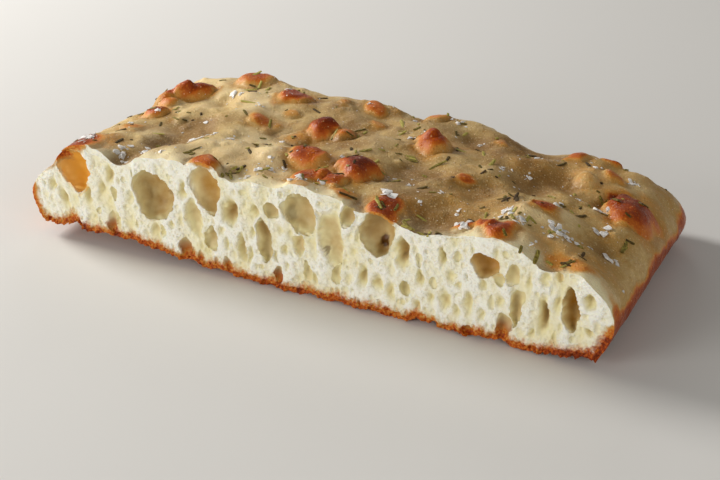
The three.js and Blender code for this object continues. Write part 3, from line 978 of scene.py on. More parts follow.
@dataclass
class NodeBench:
    """A new material with helpers that add and wire its nodes."""

    name: str

    def __post_init__(self) -> None:
        """Makes the material with a bare Principled shader."""
        self.material = bpy.data.materials.new(self.name)
        self.material.use_nodes = True
        self.tree = self.material.node_tree
        self.tree.nodes.clear()
        self.shader = self.add("ShaderNodeBsdfPrincipled")
        out = self.add("ShaderNodeOutputMaterial")
        self.wire(self.shader.outputs["BSDF"], out.inputs["Surface"])
        self.coords = self.add("ShaderNodeTexCoord").outputs["Object"]

    def add(self, kind: str, **settings: object) -> bpy.types.Node:
        """Adds a node.

        Args:
            kind: The node's type name.
            settings: Properties to set on it.

        Returns:
            The node.
        """
        node = self.tree.nodes.new(kind)
        for key, value in settings.items():
            setattr(node, key, value)
        return node

    def wire(self, source: bpy.types.NodeSocket, target: bpy.types.NodeSocket) -> None:
        """Links two sockets."""
        self.tree.links.new(source, target)

    def feed(self, value: object, target: bpy.types.NodeSocket) -> None:
        """Gives a socket a value, or the output of another node."""
        if isinstance(value, bpy.types.NodeSocket):
            self.wire(value, target)
        else:
            target.default_value = value

    def attribute(self, name: str) -> bpy.types.NodeSocket:
        """The value of a point attribute."""
        return self.add("ShaderNodeAttribute", attribute_name=name).outputs["Fac"]

    def noise(self, size: float, detail: float = 2.0, rough: float = 0.5) -> bpy.types.NodeSocket:
        """Cloudy noise on the object's own coordinates.

        Args:
            size: Size of the clouds, in millimetres.
            detail: Layers of finer clouds.
            rough: How strong the finer layers are.

        Returns:
            The noise, from 0 to 1.
        """
        node = self.add("ShaderNodeTexNoise")
        self.wire(self.coords, node.inputs["Vector"])
        node.inputs["Scale"].default_value = 1 / (size * MM)
        node.inputs["Detail"].default_value = detail
        node.inputs["Roughness"].default_value = rough
        return node.outputs["Fac"]

    def bubbles(self, size: float, blur: float = 0.6) -> bpy.types.NodeSocket:
        """Distance to the middle of the nearest of many small bubbles.

        Args:
            size: Spacing of the bubbles, in millimetres.
            blur: How softly they run together.

        Returns:
            The distance, about 0 to 1.
        """
        node = self.add("ShaderNodeTexVoronoi", feature="SMOOTH_F1")
        self.wire(self.coords, node.inputs["Vector"])
        node.inputs["Scale"].default_value = 1 / (size * MM)
        node.inputs["Smoothness"].default_value = blur
        return node.outputs["Distance"]

    def swing(self, size: float, detail: float = 2.0, rough: float = 0.5) -> bpy.types.NodeSocket:
        """Cloudy noise that swings either way of 0.

        Args:
            size: Size of the clouds, in millimetres.
            detail: Layers of finer clouds.
            rough: How strong the finer layers are.

        Returns:
            The noise, from -0.5 to 0.5.
        """
        return self.sum_of(self.noise(size, detail, rough), -0.5)

    def times(self, first: object, second: object) -> bpy.types.NodeSocket:
        """Multiplies two values or sockets."""
        return self.sum_of(first, second, "MULTIPLY")

    def sum_of(self, first: object, second: object, how: str = "ADD") -> bpy.types.NodeSocket:
        """Joins two values with a sum, or with another named operation.

        Args:
            first: A value or socket.
            second: A value or socket.
            how: The operation.

        Returns:
            The result.
        """
        node = self.add("ShaderNodeMath", operation=how)
        self.feed(first, node.inputs[0])
        self.feed(second, node.inputs[1])
        return node.outputs["Value"]

    def spread(self, value: object, low: float, high: float,
               to_low: float = 0.0, to_high: float = 1.0) -> bpy.types.NodeSocket:
        """Stretches a range of values to another range, and stops at its ends.

        Args:
            value: A value or socket.
            low: Start of the range.
            high: End of the range.
            to_low: What the start becomes.
            to_high: What the end becomes.

        Returns:
            The stretched value.
        """
        node = self.add("ShaderNodeMapRange", interpolation_type="SMOOTHSTEP")
        self.feed(value, node.inputs["Value"])
        node.inputs["From Min"].default_value = low
        node.inputs["From Max"].default_value = high
        node.inputs["To Min"].default_value = to_low
        node.inputs["To Max"].default_value = to_high
        return node.outputs["Result"]

    def blend(self, amount: object, first: object, second: object) -> bpy.types.NodeSocket:
        """Mixes two colours.

        Args:
            amount: How much of the second, a value or socket.
            first: A colour or socket.
            second: A colour or socket.

        Returns:
            The mixed colour.
        """
        node = self.add("ShaderNodeMix", data_type="RGBA")
        self.feed(amount, node.inputs[0])
        for value, target in ((first, node.inputs[6]), (second, node.inputs[7])):
            self.feed((*value, 1.0) if isinstance(value, tuple) else value, target)
        return node.outputs[2]

    def ramp(self, value: bpy.types.NodeSocket,
             stops: tuple[tuple[float, Colour], ...]) -> bpy.types.NodeSocket:
        """Turns a value into a colour along a row of stops.

        Args:
            value: The value.
            stops: Position and colour of each stop.

        Returns:
            The colour.
        """
        node = self.add("ShaderNodeValToRGB")
        marks = node.color_ramp.elements
        while len(marks) < len(stops):
            marks.new(0.5)
        for mark, (position, colour) in zip(marks, stops):
            mark.position = position
            mark.color = (*colour, 1.0)
        self.wire(value, node.inputs["Fac"])
        return node.outputs["Color"]

    def relief(self, height: bpy.types.NodeSocket, depth: float,
               below: bpy.types.NodeSocket | None = None) -> bpy.types.NodeSocket:
        """Fine relief that only bends the light.

        Args:
            height: The relief's height, 0 to 1.
            depth: How deep it is, in millimetres.
            below: A coarser relief that this one lies on.

        Returns:
            The bent normal.
        """
        node = self.add("ShaderNodeBump")
        node.inputs["Distance"].default_value = depth * MM
        self.wire(height, node.inputs["Height"])
        if below is not None:
            self.wire(below, node.inputs["Normal"])
        return node.outputs["Normal"]

    def finish(self, colour: bpy.types.NodeSocket, rough: object,
               normal: bpy.types.NodeSocket | None, **uniform: object) -> bpy.types.Material:
        """Wires the shader and sets what is the same all over.

        Args:
            colour: The base colour.
            rough: The roughness, a value or socket.
            normal: The bent normal, if any.
            uniform: Values of other inputs, with underscores for the spaces in their names.

        Returns:
            The material.
        """
        self.wire(colour, self.shader.inputs["Base Color"])
        self.feed(rough, self.shader.inputs["Roughness"])
        if normal is not None:
            self.wire(normal, self.shader.inputs["Normal"])
        for key, value in uniform.items():
            self.shader.inputs[key.replace("_", " ")].default_value = value
        return self.material


@dataclass(frozen=True)
class CrustFinish:
    """Oiled baked crust, from pale dough through gold to dark red-brown blisters."""

    pale: Colour = srgb(220, 193, 134)
    dough: Colour = srgb(182, 144, 80)
    gold: Colour = srgb(202, 142, 60)
    amber: Colour = srgb(194, 104, 24)
    russet: Colour = srgb(158, 64, 6)
    dark: Colour = srgb(112, 38, 2)
    # Flour dust, also used for painted light on raised parts and for painted glints.
    dust_and_highlight: Colour = srgb(252, 227, 174)
    # Oil in the hollows, which also paints their shade.
    pooled_oil_and_shade: Colour = srgb(132, 92, 36)
    # The pale crust rim at the cut, brightened as painted light.
    cut_rim_and_light: Colour = srgb(244, 234, 192)

    def colours(self, bench: NodeBench, toast: bpy.types.NodeSocket) -> bpy.types.NodeSocket:
        """The crust's colour for a brownness.

        Args:
            bench: The material being made.
            toast: The brownness, 0 to 1.

        Returns:
            The colour.
        """
        return bench.ramp(toast, (
            (0.0, self.pale), (0.2, self.dough), (0.36, self.gold),
            (0.52, self.amber), (0.74, self.russet), (0.98, self.dark)))

    def paler(self, bench: NodeBench, colour: bpy.types.NodeSocket, toast: bpy.types.NodeSocket,
              patchy: bpy.types.NodeSocket) -> bpy.types.NodeSocket:
        """Lays flour with painted light on raised parts, oil with painted shade in hollows, and the pale
        rim of the cut with painted light, over the less baked crust.

        Args:
            bench: The material being made.
            colour: The baked colour.
            toast: The brownness, 0 to 1.
            patchy: Noise that swings about 0.

        Returns:
            The colour.
        """
        near = bench.sum_of(bench.attribute("from_crust"), bench.times(patchy, 6.0))
        # The pale crust rim at the cut, with painted light on it.
        edge = bench.times(bench.spread(near, 11.0, 0.2, 0.0, 0.85), bench.spread(toast, 0.4, 0.2))
        edge = bench.times(edge, bench.spread(bench.attribute("end"), 1.0, 0.0))
        # Raised parts: flour dust with painted light.
        ridge_dust_and_light = bench.times(bench.attribute("ridge_dust_and_light"), bench.spread(toast, 0.32, 0.16))
        # Hollows: oil with painted shade.
        oily_shade = bench.times(bench.attribute("oil_and_shade"), bench.spread(toast, 0.5, 0.25))
        floury = bench.spread(bench.noise(0.8, 3.0, 0.6), 0.56, 0.72, 0.0, 0.4)
        for amount, tint in (
                (edge, self.cut_rim_and_light), (bench.times(ridge_dust_and_light, 0.7), self.dust_and_highlight),
                (bench.times(oily_shade, 0.8), self.pooled_oil_and_shade),
                (bench.times(floury, bench.spread(toast, 0.5, 0.3)), self.dust_and_highlight)):
            colour = bench.blend(amount, colour, tint)
        return colour

    def wrinkles(self, bench: NodeBench) -> bpy.types.NodeSocket:
        """Fine pebbled relief of the skin.

        Args:
            bench: The material being made.

        Returns:
            The bent normal.
        """
        broad = bench.relief(bench.noise(1.8, 3.0, 0.6), 0.12)
        domes = bench.times(bench.spread(bench.bubbles(1.3, 0.2), 0.45, 0.0),
                            bench.spread(bench.noise(4.0, 2.0), 0.4, 0.65, 0.15, 1.0))
        return bench.relief(bench.sum_of(domes, bench.noise(0.5, 2.0)), 0.2, broad)

    def material(self) -> bpy.types.Material:
        """Makes the material."""
        bench = NodeBench("baked_crust")
        toast = bench.attribute("toast")
        patchy, fine = bench.swing(3.4, 3.0), bench.swing(0.9, 2.0)
        mottle = bench.sum_of(bench.times(patchy, 0.24), bench.times(fine, 0.16))
        browned = bench.spread(toast, 0.3, 0.75)
        freckles = bench.times(bench.spread(bench.bubbles(1.35), 0.12, 0.42, -0.14, 0.03), browned)
        colour = self.colours(bench, bench.sum_of(bench.sum_of(toast, mottle), freckles))
        colour = self.paler(bench, colour, toast, patchy)
        frost = bench.times(bench.spread(bench.bubbles(1.5, 0.1), 0.2, 0.06, 0.0, 0.55), browned)
        colour = bench.blend(frost, colour, self.gold)
        # Pale specks: salt dust and painted glints of tiny bubbles.
        dust_and_glint_specks = bench.spread(bench.bubbles(2.1, 0.05), 0.155, 0.08, 0.0, 0.5)
        colour = bench.blend(dust_and_glint_specks, colour, self.dust_and_highlight)
        rough = bench.spread(bench.noise(5.0, 3.0), 0.3, 0.7, 0.36, 0.58)
        rough = bench.sum_of(rough, bench.times(browned, -0.1))
        bench.wire(bench.spread(browned, 0.0, 1.0, 0.28, 0.2), bench.shader.inputs["Specular IOR Level"])
        return bench.finish(
            colour, rough, self.wrinkles(bench), Subsurface_Weight=0.12,
            Subsurface_Radius=(1.0, 0.6, 0.3), Subsurface_Scale=0.0012)


@dataclass(frozen=True)
class CrumbFinish:
    """Moist open crumb: cream on the cut, yellower on the cell walls and darker deep inside the cells as
    painted shade, brown next to the crust.
    """

    cream: Colour = srgb(245, 243, 230)
    # wall and deep: the cell walls' own yellower tone, darkened deeper in as painted shade.
    wall: Colour = srgb(230, 220, 172)
    deep: Colour = srgb(170, 122, 38)
    # pore paints the shade in tiny pores.
    pore: Colour = srgb(206, 184, 128)
    # inner paints the shade of small deep pores.
    inner: Colour = srgb(96, 60, 18)
    glaze: Colour = srgb(250, 188, 68)
    baked: Colour = srgb(190, 110, 34)
    scorched: Colour = srgb(160, 84, 16)
    crust: CrustFinish = CrustFinish()

    def sponge(self, bench: NodeBench) -> bpy.types.NodeSocket:
        """Tiny pores of two sizes, strewn in patches over the cut, where their shade is painted.

        Args:
            bench: The material being made.

        Returns:
            How much of a pore each place is, 0 to 1.
        """
        here = bench.spread(bench.noise(4.5, 2.0), 0.36, 0.6)
        fine = bench.spread(bench.bubbles(1.0, 0.15), 0.42, 0.16)
        coarse = bench.spread(bench.bubbles(1.9, 0.15), 0.34, 0.18)
        patches = bench.spread(bench.noise(7.0, 2.0), 0.42, 0.58)
        return bench.sum_of(bench.times(fine, here), bench.times(coarse, patches), "MAXIMUM")

    def edge(self, bench: NodeBench, colour: bpy.types.NodeSocket) -> bpy.types.NodeSocket:
        """Browns the crumb next to the crust.

        Args:
            bench: The material being made.
            colour: The crumb's colour.

        Returns:
            The browned colour.
        """
        away, toast = bench.attribute("from_crust"), bench.attribute("crust_toast")
        hot = bench.spread(toast, 0.25, 0.6)
        near = bench.times(bench.spread(away, 7.0, 1.5), hot)
        amber = bench.times(bench.times(near, bench.spread(bench.attribute("pit"), 0.2, 0.7)), 0.9)
        colour = bench.blend(amber, colour, self.baked)
        ragged = bench.times(bench.times(bench.swing(1.7, 4.0, 0.7), 5.0), hot)
        thick = bench.spread(toast, 0.12, 0.62, 0.4, 3.4)
        depth = bench.sum_of(bench.sum_of(away, ragged), thick, "DIVIDE")
        band = bench.times(bench.spread(depth, 1.5, 0.5), bench.spread(toast, 0.16, 0.36))
        grainy = bench.times(bench.times(bench.swing(0.9, 3.0), 1.3), hot)
        fading = bench.spread(depth, 0.1, 1.3, 0.06, -0.3)
        shade = bench.sum_of(bench.sum_of(toast, fading), grainy)
        return bench.blend(band, colour, self.crust.colours(bench, shade))

    def material(self) -> bpy.types.Material:
        """Makes the material."""
        bench = NodeBench("open_crumb")
        pit = bench.attribute("pit")
        clouds = bench.times(bench.swing(5.0, 3.0), 0.4)
        # Darker and yellower deeper behind the cut: the walls' own tone with painted shade.
        colour = bench.ramp(bench.sum_of(pit, clouds), (
            (0.06, self.cream), (0.42, self.wall), (0.86, self.deep)))
        surface = bench.spread(pit, 0.45, 0.1)
        pores = bench.times(self.sponge(bench), surface)
        # Tiny pores get a painted shade.
        colour = bench.blend(bench.times(pores, 0.3), colour, self.pore)
        # inner paints the shade of small deep pores; glaze and scorch are the cells' own baked colour.
        for layer, tint in (("glaze", self.glaze), ("inner", self.inner), ("scorch", self.scorched)):
            colour = bench.blend(bench.attribute(layer), colour, tint)
        colour = self.edge(bench, colour)
        spongy = bench.relief(bench.times(bench.noise(0.8, 4.0, 0.6), surface), 0.42)
        dents = bench.relief(bench.times(bench.bubbles(0.75, 0.3), surface), 0.22, spongy)
        rough = bench.spread(pit, 0.2, 0.7, 0.7, 0.42)
        return bench.finish(
            colour, rough, dents, Subsurface_Weight=0.28, Subsurface_Radius=(1.0, 0.85, 0.6),
            Subsurface_Scale=0.001, Specular_IOR_Level=0.25)


@dataclass(frozen=True)
class RosemaryFinish:
    """Dried rosemary: olive green to nearly black, dull, its tone varying from leaf to leaf and along each
    leaf.
    """

    green: Colour = srgb(176, 164, 80)
    olive: Colour = srgb(122, 106, 42)
    dark: Colour = srgb(70, 50, 22)

    def material(self) -> bpy.types.Material:
        """Makes the material."""
        bench = NodeBench("dried_rosemary")
        shade = bench.sum_of(bench.attribute("tone"), bench.swing(0.7, 2.0))
        colour = bench.ramp(shade, ((0.1, self.dark), (0.5, self.olive), (0.9, self.green)))
        ribs = bench.relief(bench.noise(0.35, 2.0), 0.12)
        return bench.finish(colour, 0.55, ribs, Specular_IOR_Level=0.2)


@dataclass(frozen=True)
class SaltFinish:
    """Frosty flakes of coarse salt."""

    white: Colour = srgb(253, 250, 245)
    frost: Colour = srgb(238, 232, 222)

    def material(self) -> bpy.types.Material:
        """Makes the material."""
        bench = NodeBench("flaky_salt")
        colour = bench.blend(bench.noise(0.6, 3.0), self.white, self.frost)
        rough = bench.spread(bench.noise(0.5, 2.0), 0.3, 0.7, 0.2, 0.5)
        frosted = bench.relief(bench.noise(0.3, 3.0), 0.15)
        return bench.finish(
            colour, rough, frosted, Subsurface_Weight=0.6, Subsurface_Radius=(1.0, 1.0, 1.0),
            Subsurface_Scale=0.0015, IOR=1.4)


@dataclass(frozen=True)
class FloorFinish:
    """A plain pale floor."""

    pale: Colour = srgb(222, 220, 216)

    def material(self) -> bpy.types.Material:
        """Makes the material."""
        bench = NodeBench("pale_floor")
        shade = tuple(0.97 * part for part in self.pale)
        colour = bench.blend(bench.noise(160.0, 2.0), self.pale, shade)
        return bench.finish(colour, 0.8, None, Specular_IOR_Level=0.2)


# ---------------------------------------------------------------------------------------- bread


@dataclass
class BreadHalf:
    """The slab itself: its skin, cut open along the front."""

    form: DoughForm
    skin: DoughSkin
    crumb: CrumbFace
    crease_angle: float = math.radians(62)
    seam_reach: float = 15.0
    thin_top: float = 0.6
    low_cells: float = 12.0
    low_seam: float = 12.0
    left_end: float = -94.0
    end_fade: tuple[float, float] = (84.0, 100.0)
    far: float = 50.0
    pit_depth: float = 3.7
    tint_reach: float = 1.2

    def cut(self) -> bpy.types.Mesh:
        """Cuts the skin with the crumb block.

        Returns:
            The closed mesh of the slab, in millimetres.
        """
        parts = []
        finishes = (CrustFinish().material(), CrumbFinish().material())
        for rank, mesh in enumerate((self.skin.mesh(), self.crumb.mesh())):
            for finish in finishes:
                mesh.materials.append(finish)
            mesh.polygons.foreach_set("material_index", [rank] * len(mesh.polygons))
            parts.append(lay_out(mesh.name, mesh))
        slab, block = parts
        knife = slab.modifiers.new("cut", "BOOLEAN")
        knife.operation = "INTERSECT"
        knife.solver = "MANIFOLD"
        knife.object = block
        view = bpy.context.evaluated_depsgraph_get()
        mesh = bpy.data.meshes.new_from_object(slab.evaluated_get(view))
        for part in parts:
            bpy.data.objects.remove(part)
        return mesh

    def side_toast(self, points: np.ndarray) -> np.ndarray:
        """How brown the crust is all round, with its sides and base.

        Args:
            points: Places on the crust.

        Returns:
            The brownness of each place.
        """
        form = self.form
        x, y, z = points.T
        base, top = form.base_height(x), form.top_height(x, y)
        height = np.clip((z - base) / np.maximum(top - base, 1), 0, 1)
        ragged = lumps(points, (14.0, 6.0, 2.6), seed=63)
        right = smooth_ramp(x, 70.0, 106.0)
        back = smooth_ramp(y, 16.0, 46.0)
        left = smooth_ramp(-x, 88.0, 106.0)
        high = 0.66 + 0.12 * right + 0.16 * left
        side = smooth_ramp(height + 0.26 * ragged, high, high - 0.6 + 0.26 * right + 0.2 * left)
        edge = 0.56 + 0.26 * right + 0.1 * back * (1 - right) - 0.04 * left
        toast = np.maximum(form.toast(x, y) * (0.35 + 0.65 * height), side * (edge + 0.16 * ragged))
        corner = np.hypot((x - 96) / 20, (y + 46) / 8) + 0.6 * ragged
        toast = np.maximum(toast, 0.42 * smooth_ramp(corner, 1.2, 0.0))
        sole = smooth_ramp(z - base, 2.6, 0.8)
        return np.maximum(toast, sole * (0.47 + 0.6 * lumps(points, (2.6, 1.3), seed=64)))

    def crust_distance(self, mesh: bpy.types.Mesh, points: np.ndarray) -> tuple[np.ndarray, np.ndarray]:
        """How far places of the crumb lie from the crust, and how brown the crust is there.

        Args:
            mesh: The slab, in millimetres.
            points: Its vertices.

        Returns:
            The distance from the crust, and its brownness.
        """
        crust = {vert for face in mesh.polygons if face.material_index == 0 for vert in face.vertices}
        crumb = {vert for face in mesh.polygons if face.material_index == 1 for vert in face.vertices}
        seam = np.array(sorted(crust & crumb))
        high = (points[seam, 2] > self.low_seam) & (points[seam, 0] > self.left_end)
        seam_toast = self.side_toast(points[seam]) * np.where(high, self.thin_top, 1.0)
        tree = KDTree(len(seam))
        for rank, spot in enumerate(points[seam]):
            tree.insert((spot[0], 0.0, spot[2]), rank)
        tree.balance()
        away, brown = np.full(len(points), self.far), np.zeros(len(points))
        for vert in crumb | crust:
            spot = points[vert]
            if vert in crust and spot[1] > self.form.cut_y + self.seam_reach:
                continue
            _, rank, distance = tree.find((spot[0], 0.0, spot[2]))
            if vert in crust:
                distance = max(distance, spot[1] - points[seam[rank]][1])
            away[vert], brown[vert] = distance, seam_toast[rank]
        return away, brown

    def cell_tones(self, points: np.ndarray) -> dict[str, np.ndarray]:
        """How the inside of the gas cells is tinted, with its painted shade.

        Args:
            points: Places on the slab.

        Returns:
            How deep each place lies behind the cut, which sets the painted shade, and how golden, painted
            dark or scorched it is.
        """
        x, y, z = points.T
        behind = np.maximum(0, y - self.form.cut_y - self.crumb.knife_wave(x, z))
        glaze, inner, scorch = np.zeros((3, len(points)))
        pit = 1 - np.exp(-behind / self.pit_depth)
        for cell in self.crumb.cells:
            if not cell.glaze:
                continue
            rim = self.crumb.rim_distance(cell, x, z)
            # A pale cell takes away some of the painted shade deep inside it.
            if cell.glaze < 0:
                pit *= 1 + cell.glaze * smooth_ramp(rim, 1.3, 1.1) * smooth_ramp(behind, 1.0, 3.0)
            # A small deep pore is painted dark as its shade.
            elif cell.kind is INNER:
                inner = np.maximum(inner, cell.glaze * smooth_ramp(rim, 1.1, 0.8) * (behind > 1.5))
            elif cell.z < self.low_cells:
                floor = smooth_ramp(cell.z + 0.4 * cell.height - z, 0.0, 0.7 * cell.height)
                hot = floor * smooth_ramp(behind, 0.3, 1.2)
                scorch = np.maximum(scorch, np.where(rim < self.tint_reach, hot, 0.0))
            else:
                gold = cell.glaze * smooth_ramp(behind, 0.3, 2.5)
                glaze = np.maximum(glaze, np.where(rim < self.tint_reach, gold, 0.0))
        return {"pit": pit, "glaze": glaze, "inner": inner, "scorch": scorch}

    def paint(self, mesh: bpy.types.Mesh) -> None:
        """Writes the attributes that the finishes read.

        Args:
            mesh: The slab, in millimetres.
        """
        form = self.form
        points = read_points(mesh)
        x, y, z = points.T
        from_crust, crust_toast = self.crust_distance(mesh, points)
        # Raised parts and the paler patches get flour dust with painted light.
        ridge_dust_and_light = np.clip(0.85 * smooth_ramp(z - form.trend(x, y), -0.4, 3.0) - form.tint(x, y), 0, 1)
        layers = {
            "toast": self.side_toast(points), "oil_and_shade": form.oil_and_shade(points),
            "ridge_dust_and_light": ridge_dust_and_light * form.flat_top(x, y), "end": smooth_ramp(-x, *self.end_fade),
            "from_crust": from_crust, "crust_toast": crust_toast, **self.cell_tones(points),
        }
        for name, values in layers.items():
            layer = mesh.attributes.new(name, "FLOAT", "POINT")
            layer.data.foreach_set("value", values.astype(np.float32))

    def build(self) -> bpy.types.Object:
        """Builds the slab in metres.

        Returns:
            The object.
        """
        mesh = self.cut()
        self.paint(mesh)
        mesh.transform(Matrix.Scale(MM, 4))
        mesh.shade_smooth()
        mesh.set_sharp_from_angle(angle=self.crease_angle)
        mesh.name = "bread"
        return lay_out("bread", mesh)


def read_points(mesh: bpy.types.Mesh) -> np.ndarray:
    """The places of a mesh's vertices, one row each."""
    flat = np.empty(len(mesh.vertices) * 3, dtype=np.float32)
    mesh.vertices.foreach_get("co", flat)
    return flat.reshape(-1, 3).astype(float)


# ------------------------------------------------------------------------------------- toppings


@dataclass(frozen=True)
class Place:
    """Where a topping lies, how it is turned, and its length, in millimetres and radians."""

    x: float
    y: float
    heading: float
    length: float
    bend: float = 0.0


@dataclass(frozen=True)
class SaltPile:
    """A loose pile of salt: its middle, how wide it is in millimetres, and how many crystals it has."""

    x: float
    y: float
    spread: float
    count: int


@dataclass
class Table:
    """Finds the crust under a place, to lay toppings down on it."""

    bread: bpy.types.Object
    above: float = 0.2
    least_up: float = 0.35

    def __post_init__(self) -> None:
        """Reads the bread's surface once."""
        view = bpy.context.evaluated_depsgraph_get()
        self.tree = BVHTree.FromObject(self.bread, view)

    def seat(self, place: Place, sink: float, lean: float = 0.0) -> Matrix | None:
        """The matrix that lays a topping on the crust.

        Args:
            place: Where it goes.
            sink: How deep it sits in the crust, in millimetres.
            lean: How far it stands up at its far end, in radians.

        Returns:
            The matrix, in metres, or None beside the bread.
        """
        start = Vector((place.x * MM, place.y * MM, self.above))
        spot, normal, _, _ = self.tree.ray_cast(start, Vector((0, 0, -1)))
        if spot is None or normal.z < self.least_up:
            return None
        turn = Vector((0, 0, 1)).rotation_difference(normal)
        spin = Quaternion((0, 0, 1), place.heading) @ Quaternion((0, 1, 0), -lean)
        return Matrix.Translation(spot - normal * sink * MM) @ (turn @ spin).to_matrix().to_4x4()


@dataclass
class LoosePiles:
    """Draws the places of the toppings that the slab's solid already carries."""

    form: DoughForm
    needle_count: int = 34
    needle_lengths: tuple[float, float] = (9.5, 5.5)
    flake_count: int = 40
    flake_sizes: tuple[float, float] = (3.8, 2.2)
    bare_rim: tuple[float, float, float, float] = (22.0, 15.0, 2.5, 17.0)

    def even_places(self, count: int, draw: Callable[[], float]) -> list[tuple[float, float]]:
        """Places spread evenly over the top, one in each cell of a loose grid, shuffled.

        Args:
            count: How many.
            draw: The random source.

        Returns:
            The places.
        """
        left, right, front, back = self.bare_rim
        width = self.form.length - left - right
        depth = self.form.depth - front - back
        columns = math.ceil(math.sqrt(count * width / depth))
        rows = math.ceil(count / columns)
        places = []
        for k in range(columns * rows):
            x = left - self.form.length / 2 + (k % columns + draw()) / columns * width
            y = front + self.form.cut_y + (k // columns + draw()) / rows * depth
            places.append((draw(), x, y))
        return [(x, y) for _, x, y in sorted(places)[:count]]

    def lay(self) -> tuple[list[Place], list[Place]]:
        """Lays needles, then flakes, and skips those that would touch one already laid.

        Returns:
            The needles and the flakes.
        """
        draw = kitchen_random(11)
        laid: list[tuple[float, float, float]] = []
        needles: list[Place] = []
        flakes: list[Place] = []

        def keep(pile: list[Place], place: Place) -> None:
            radius = place.length / 2
            if all(math.hypot(x - place.x, y - place.y) > r + radius for x, y, r in laid):
                laid.append((place.x, place.y, radius))
                pile.append(place)

        longest, shortest = self.needle_lengths
        for k, (x, y) in enumerate(self.even_places(self.needle_count, draw)):
            length = longest + (shortest - longest) * k / self.needle_count
            bend = draw() - 0.5
            keep(needles, Place(x, y, draw() * math.pi, length, bend))
        largest, smallest = self.flake_sizes
        for k, (x, y) in enumerate(self.even_places(self.flake_count, draw)):
            size = largest + (smallest - largest) * k / self.flake_count
            for _ in range(3):
                draw()
            keep(flakes, Place(x, y, draw() * math.pi, size))
        return needles, flakes


SPRIGS = (
    Place(-25, -45, 1.57, 8, 0.3), Place(-26, -48, -0.94, 7, 0.1), Place(3, -43, -0.77, 8, 0.2),
    Place(28, -46, -0.9, 9, 0.3), Place(23, -26, -0.54, 6, 0.1), Place(8, 16, 1.2, 6.5, -0.2),
    Place(20, -2, -0.1, 5, 0.1), Place(33, 13, -0.25, 7, 0.2), Place(-4, 3, -0.98, 9, 0.5),
    Place(40, -50, -0.6, 7, 0.5), Place(50, -49.5, -1.1, 8, 0.1), Place(45, -50, -0.2, 5, 0.3),
    Place(68, -38, 0.63, 4, 0), Place(83, -49, 1.75, 7, 0.1), Place(92, -47, 1.2, 7, 0.1),
    Place(-59, 29, 1.6, 9, 0.3), Place(-34, -18, -0.8, 10, 0.3), Place(70, -19, 0.9, 6, -0.2),
    Place(94, -37, 1.6, 7, 0.2), Place(102, -17, 1.66, 8, 0.3), Place(-80, 2, 0.8, 4, 0),
    Place(88, 7, -0.54, 5.5, 0.3), Place(62, -20, 1.2, 5.5, 0.2), Place(74, -33, 1.5, 5, 0.3),
)

SALT_PILES = (
    SaltPile(84, -31, 4.5, 14), SaltPile(73, -34, 3.5, 9), SaltPile(-72, -44, 3.5, 10),
    SaltPile(-66, -39, 3, 6), SaltPile(90, -2, 3.5, 6), SaltPile(-1, -45, 3, 6),
    SaltPile(-17, -37, 3.5, 5), SaltPile(-43, -21, 2.5, 4), SaltPile(27, -38, 2.5, 4),
    SaltPile(95, -15, 3, 5), SaltPile(104, -55, 4, 6), SaltPile(101, -26, 3, 4),
    SaltPile(-69, 44, 3, 5), SaltPile(56, -44, 3.5, 7), SaltPile(92, 28, 2.5, 4),
    SaltPile(-56, -24, 3, 5), SaltPile(-20, -44, 3, 4), SaltPile(77, -12, 3, 5),
    SaltPile(17, 18, 2.5, 4), SaltPile(108, -40, 3, 4), SaltPile(22, 36, 3, 4), SaltPile(-64, 19, 3, 4),
    SaltPile(66, -29, 3, 5), SaltPile(-88, -40, 3, 4), SaltPile(52, 5, 3, 4),
)


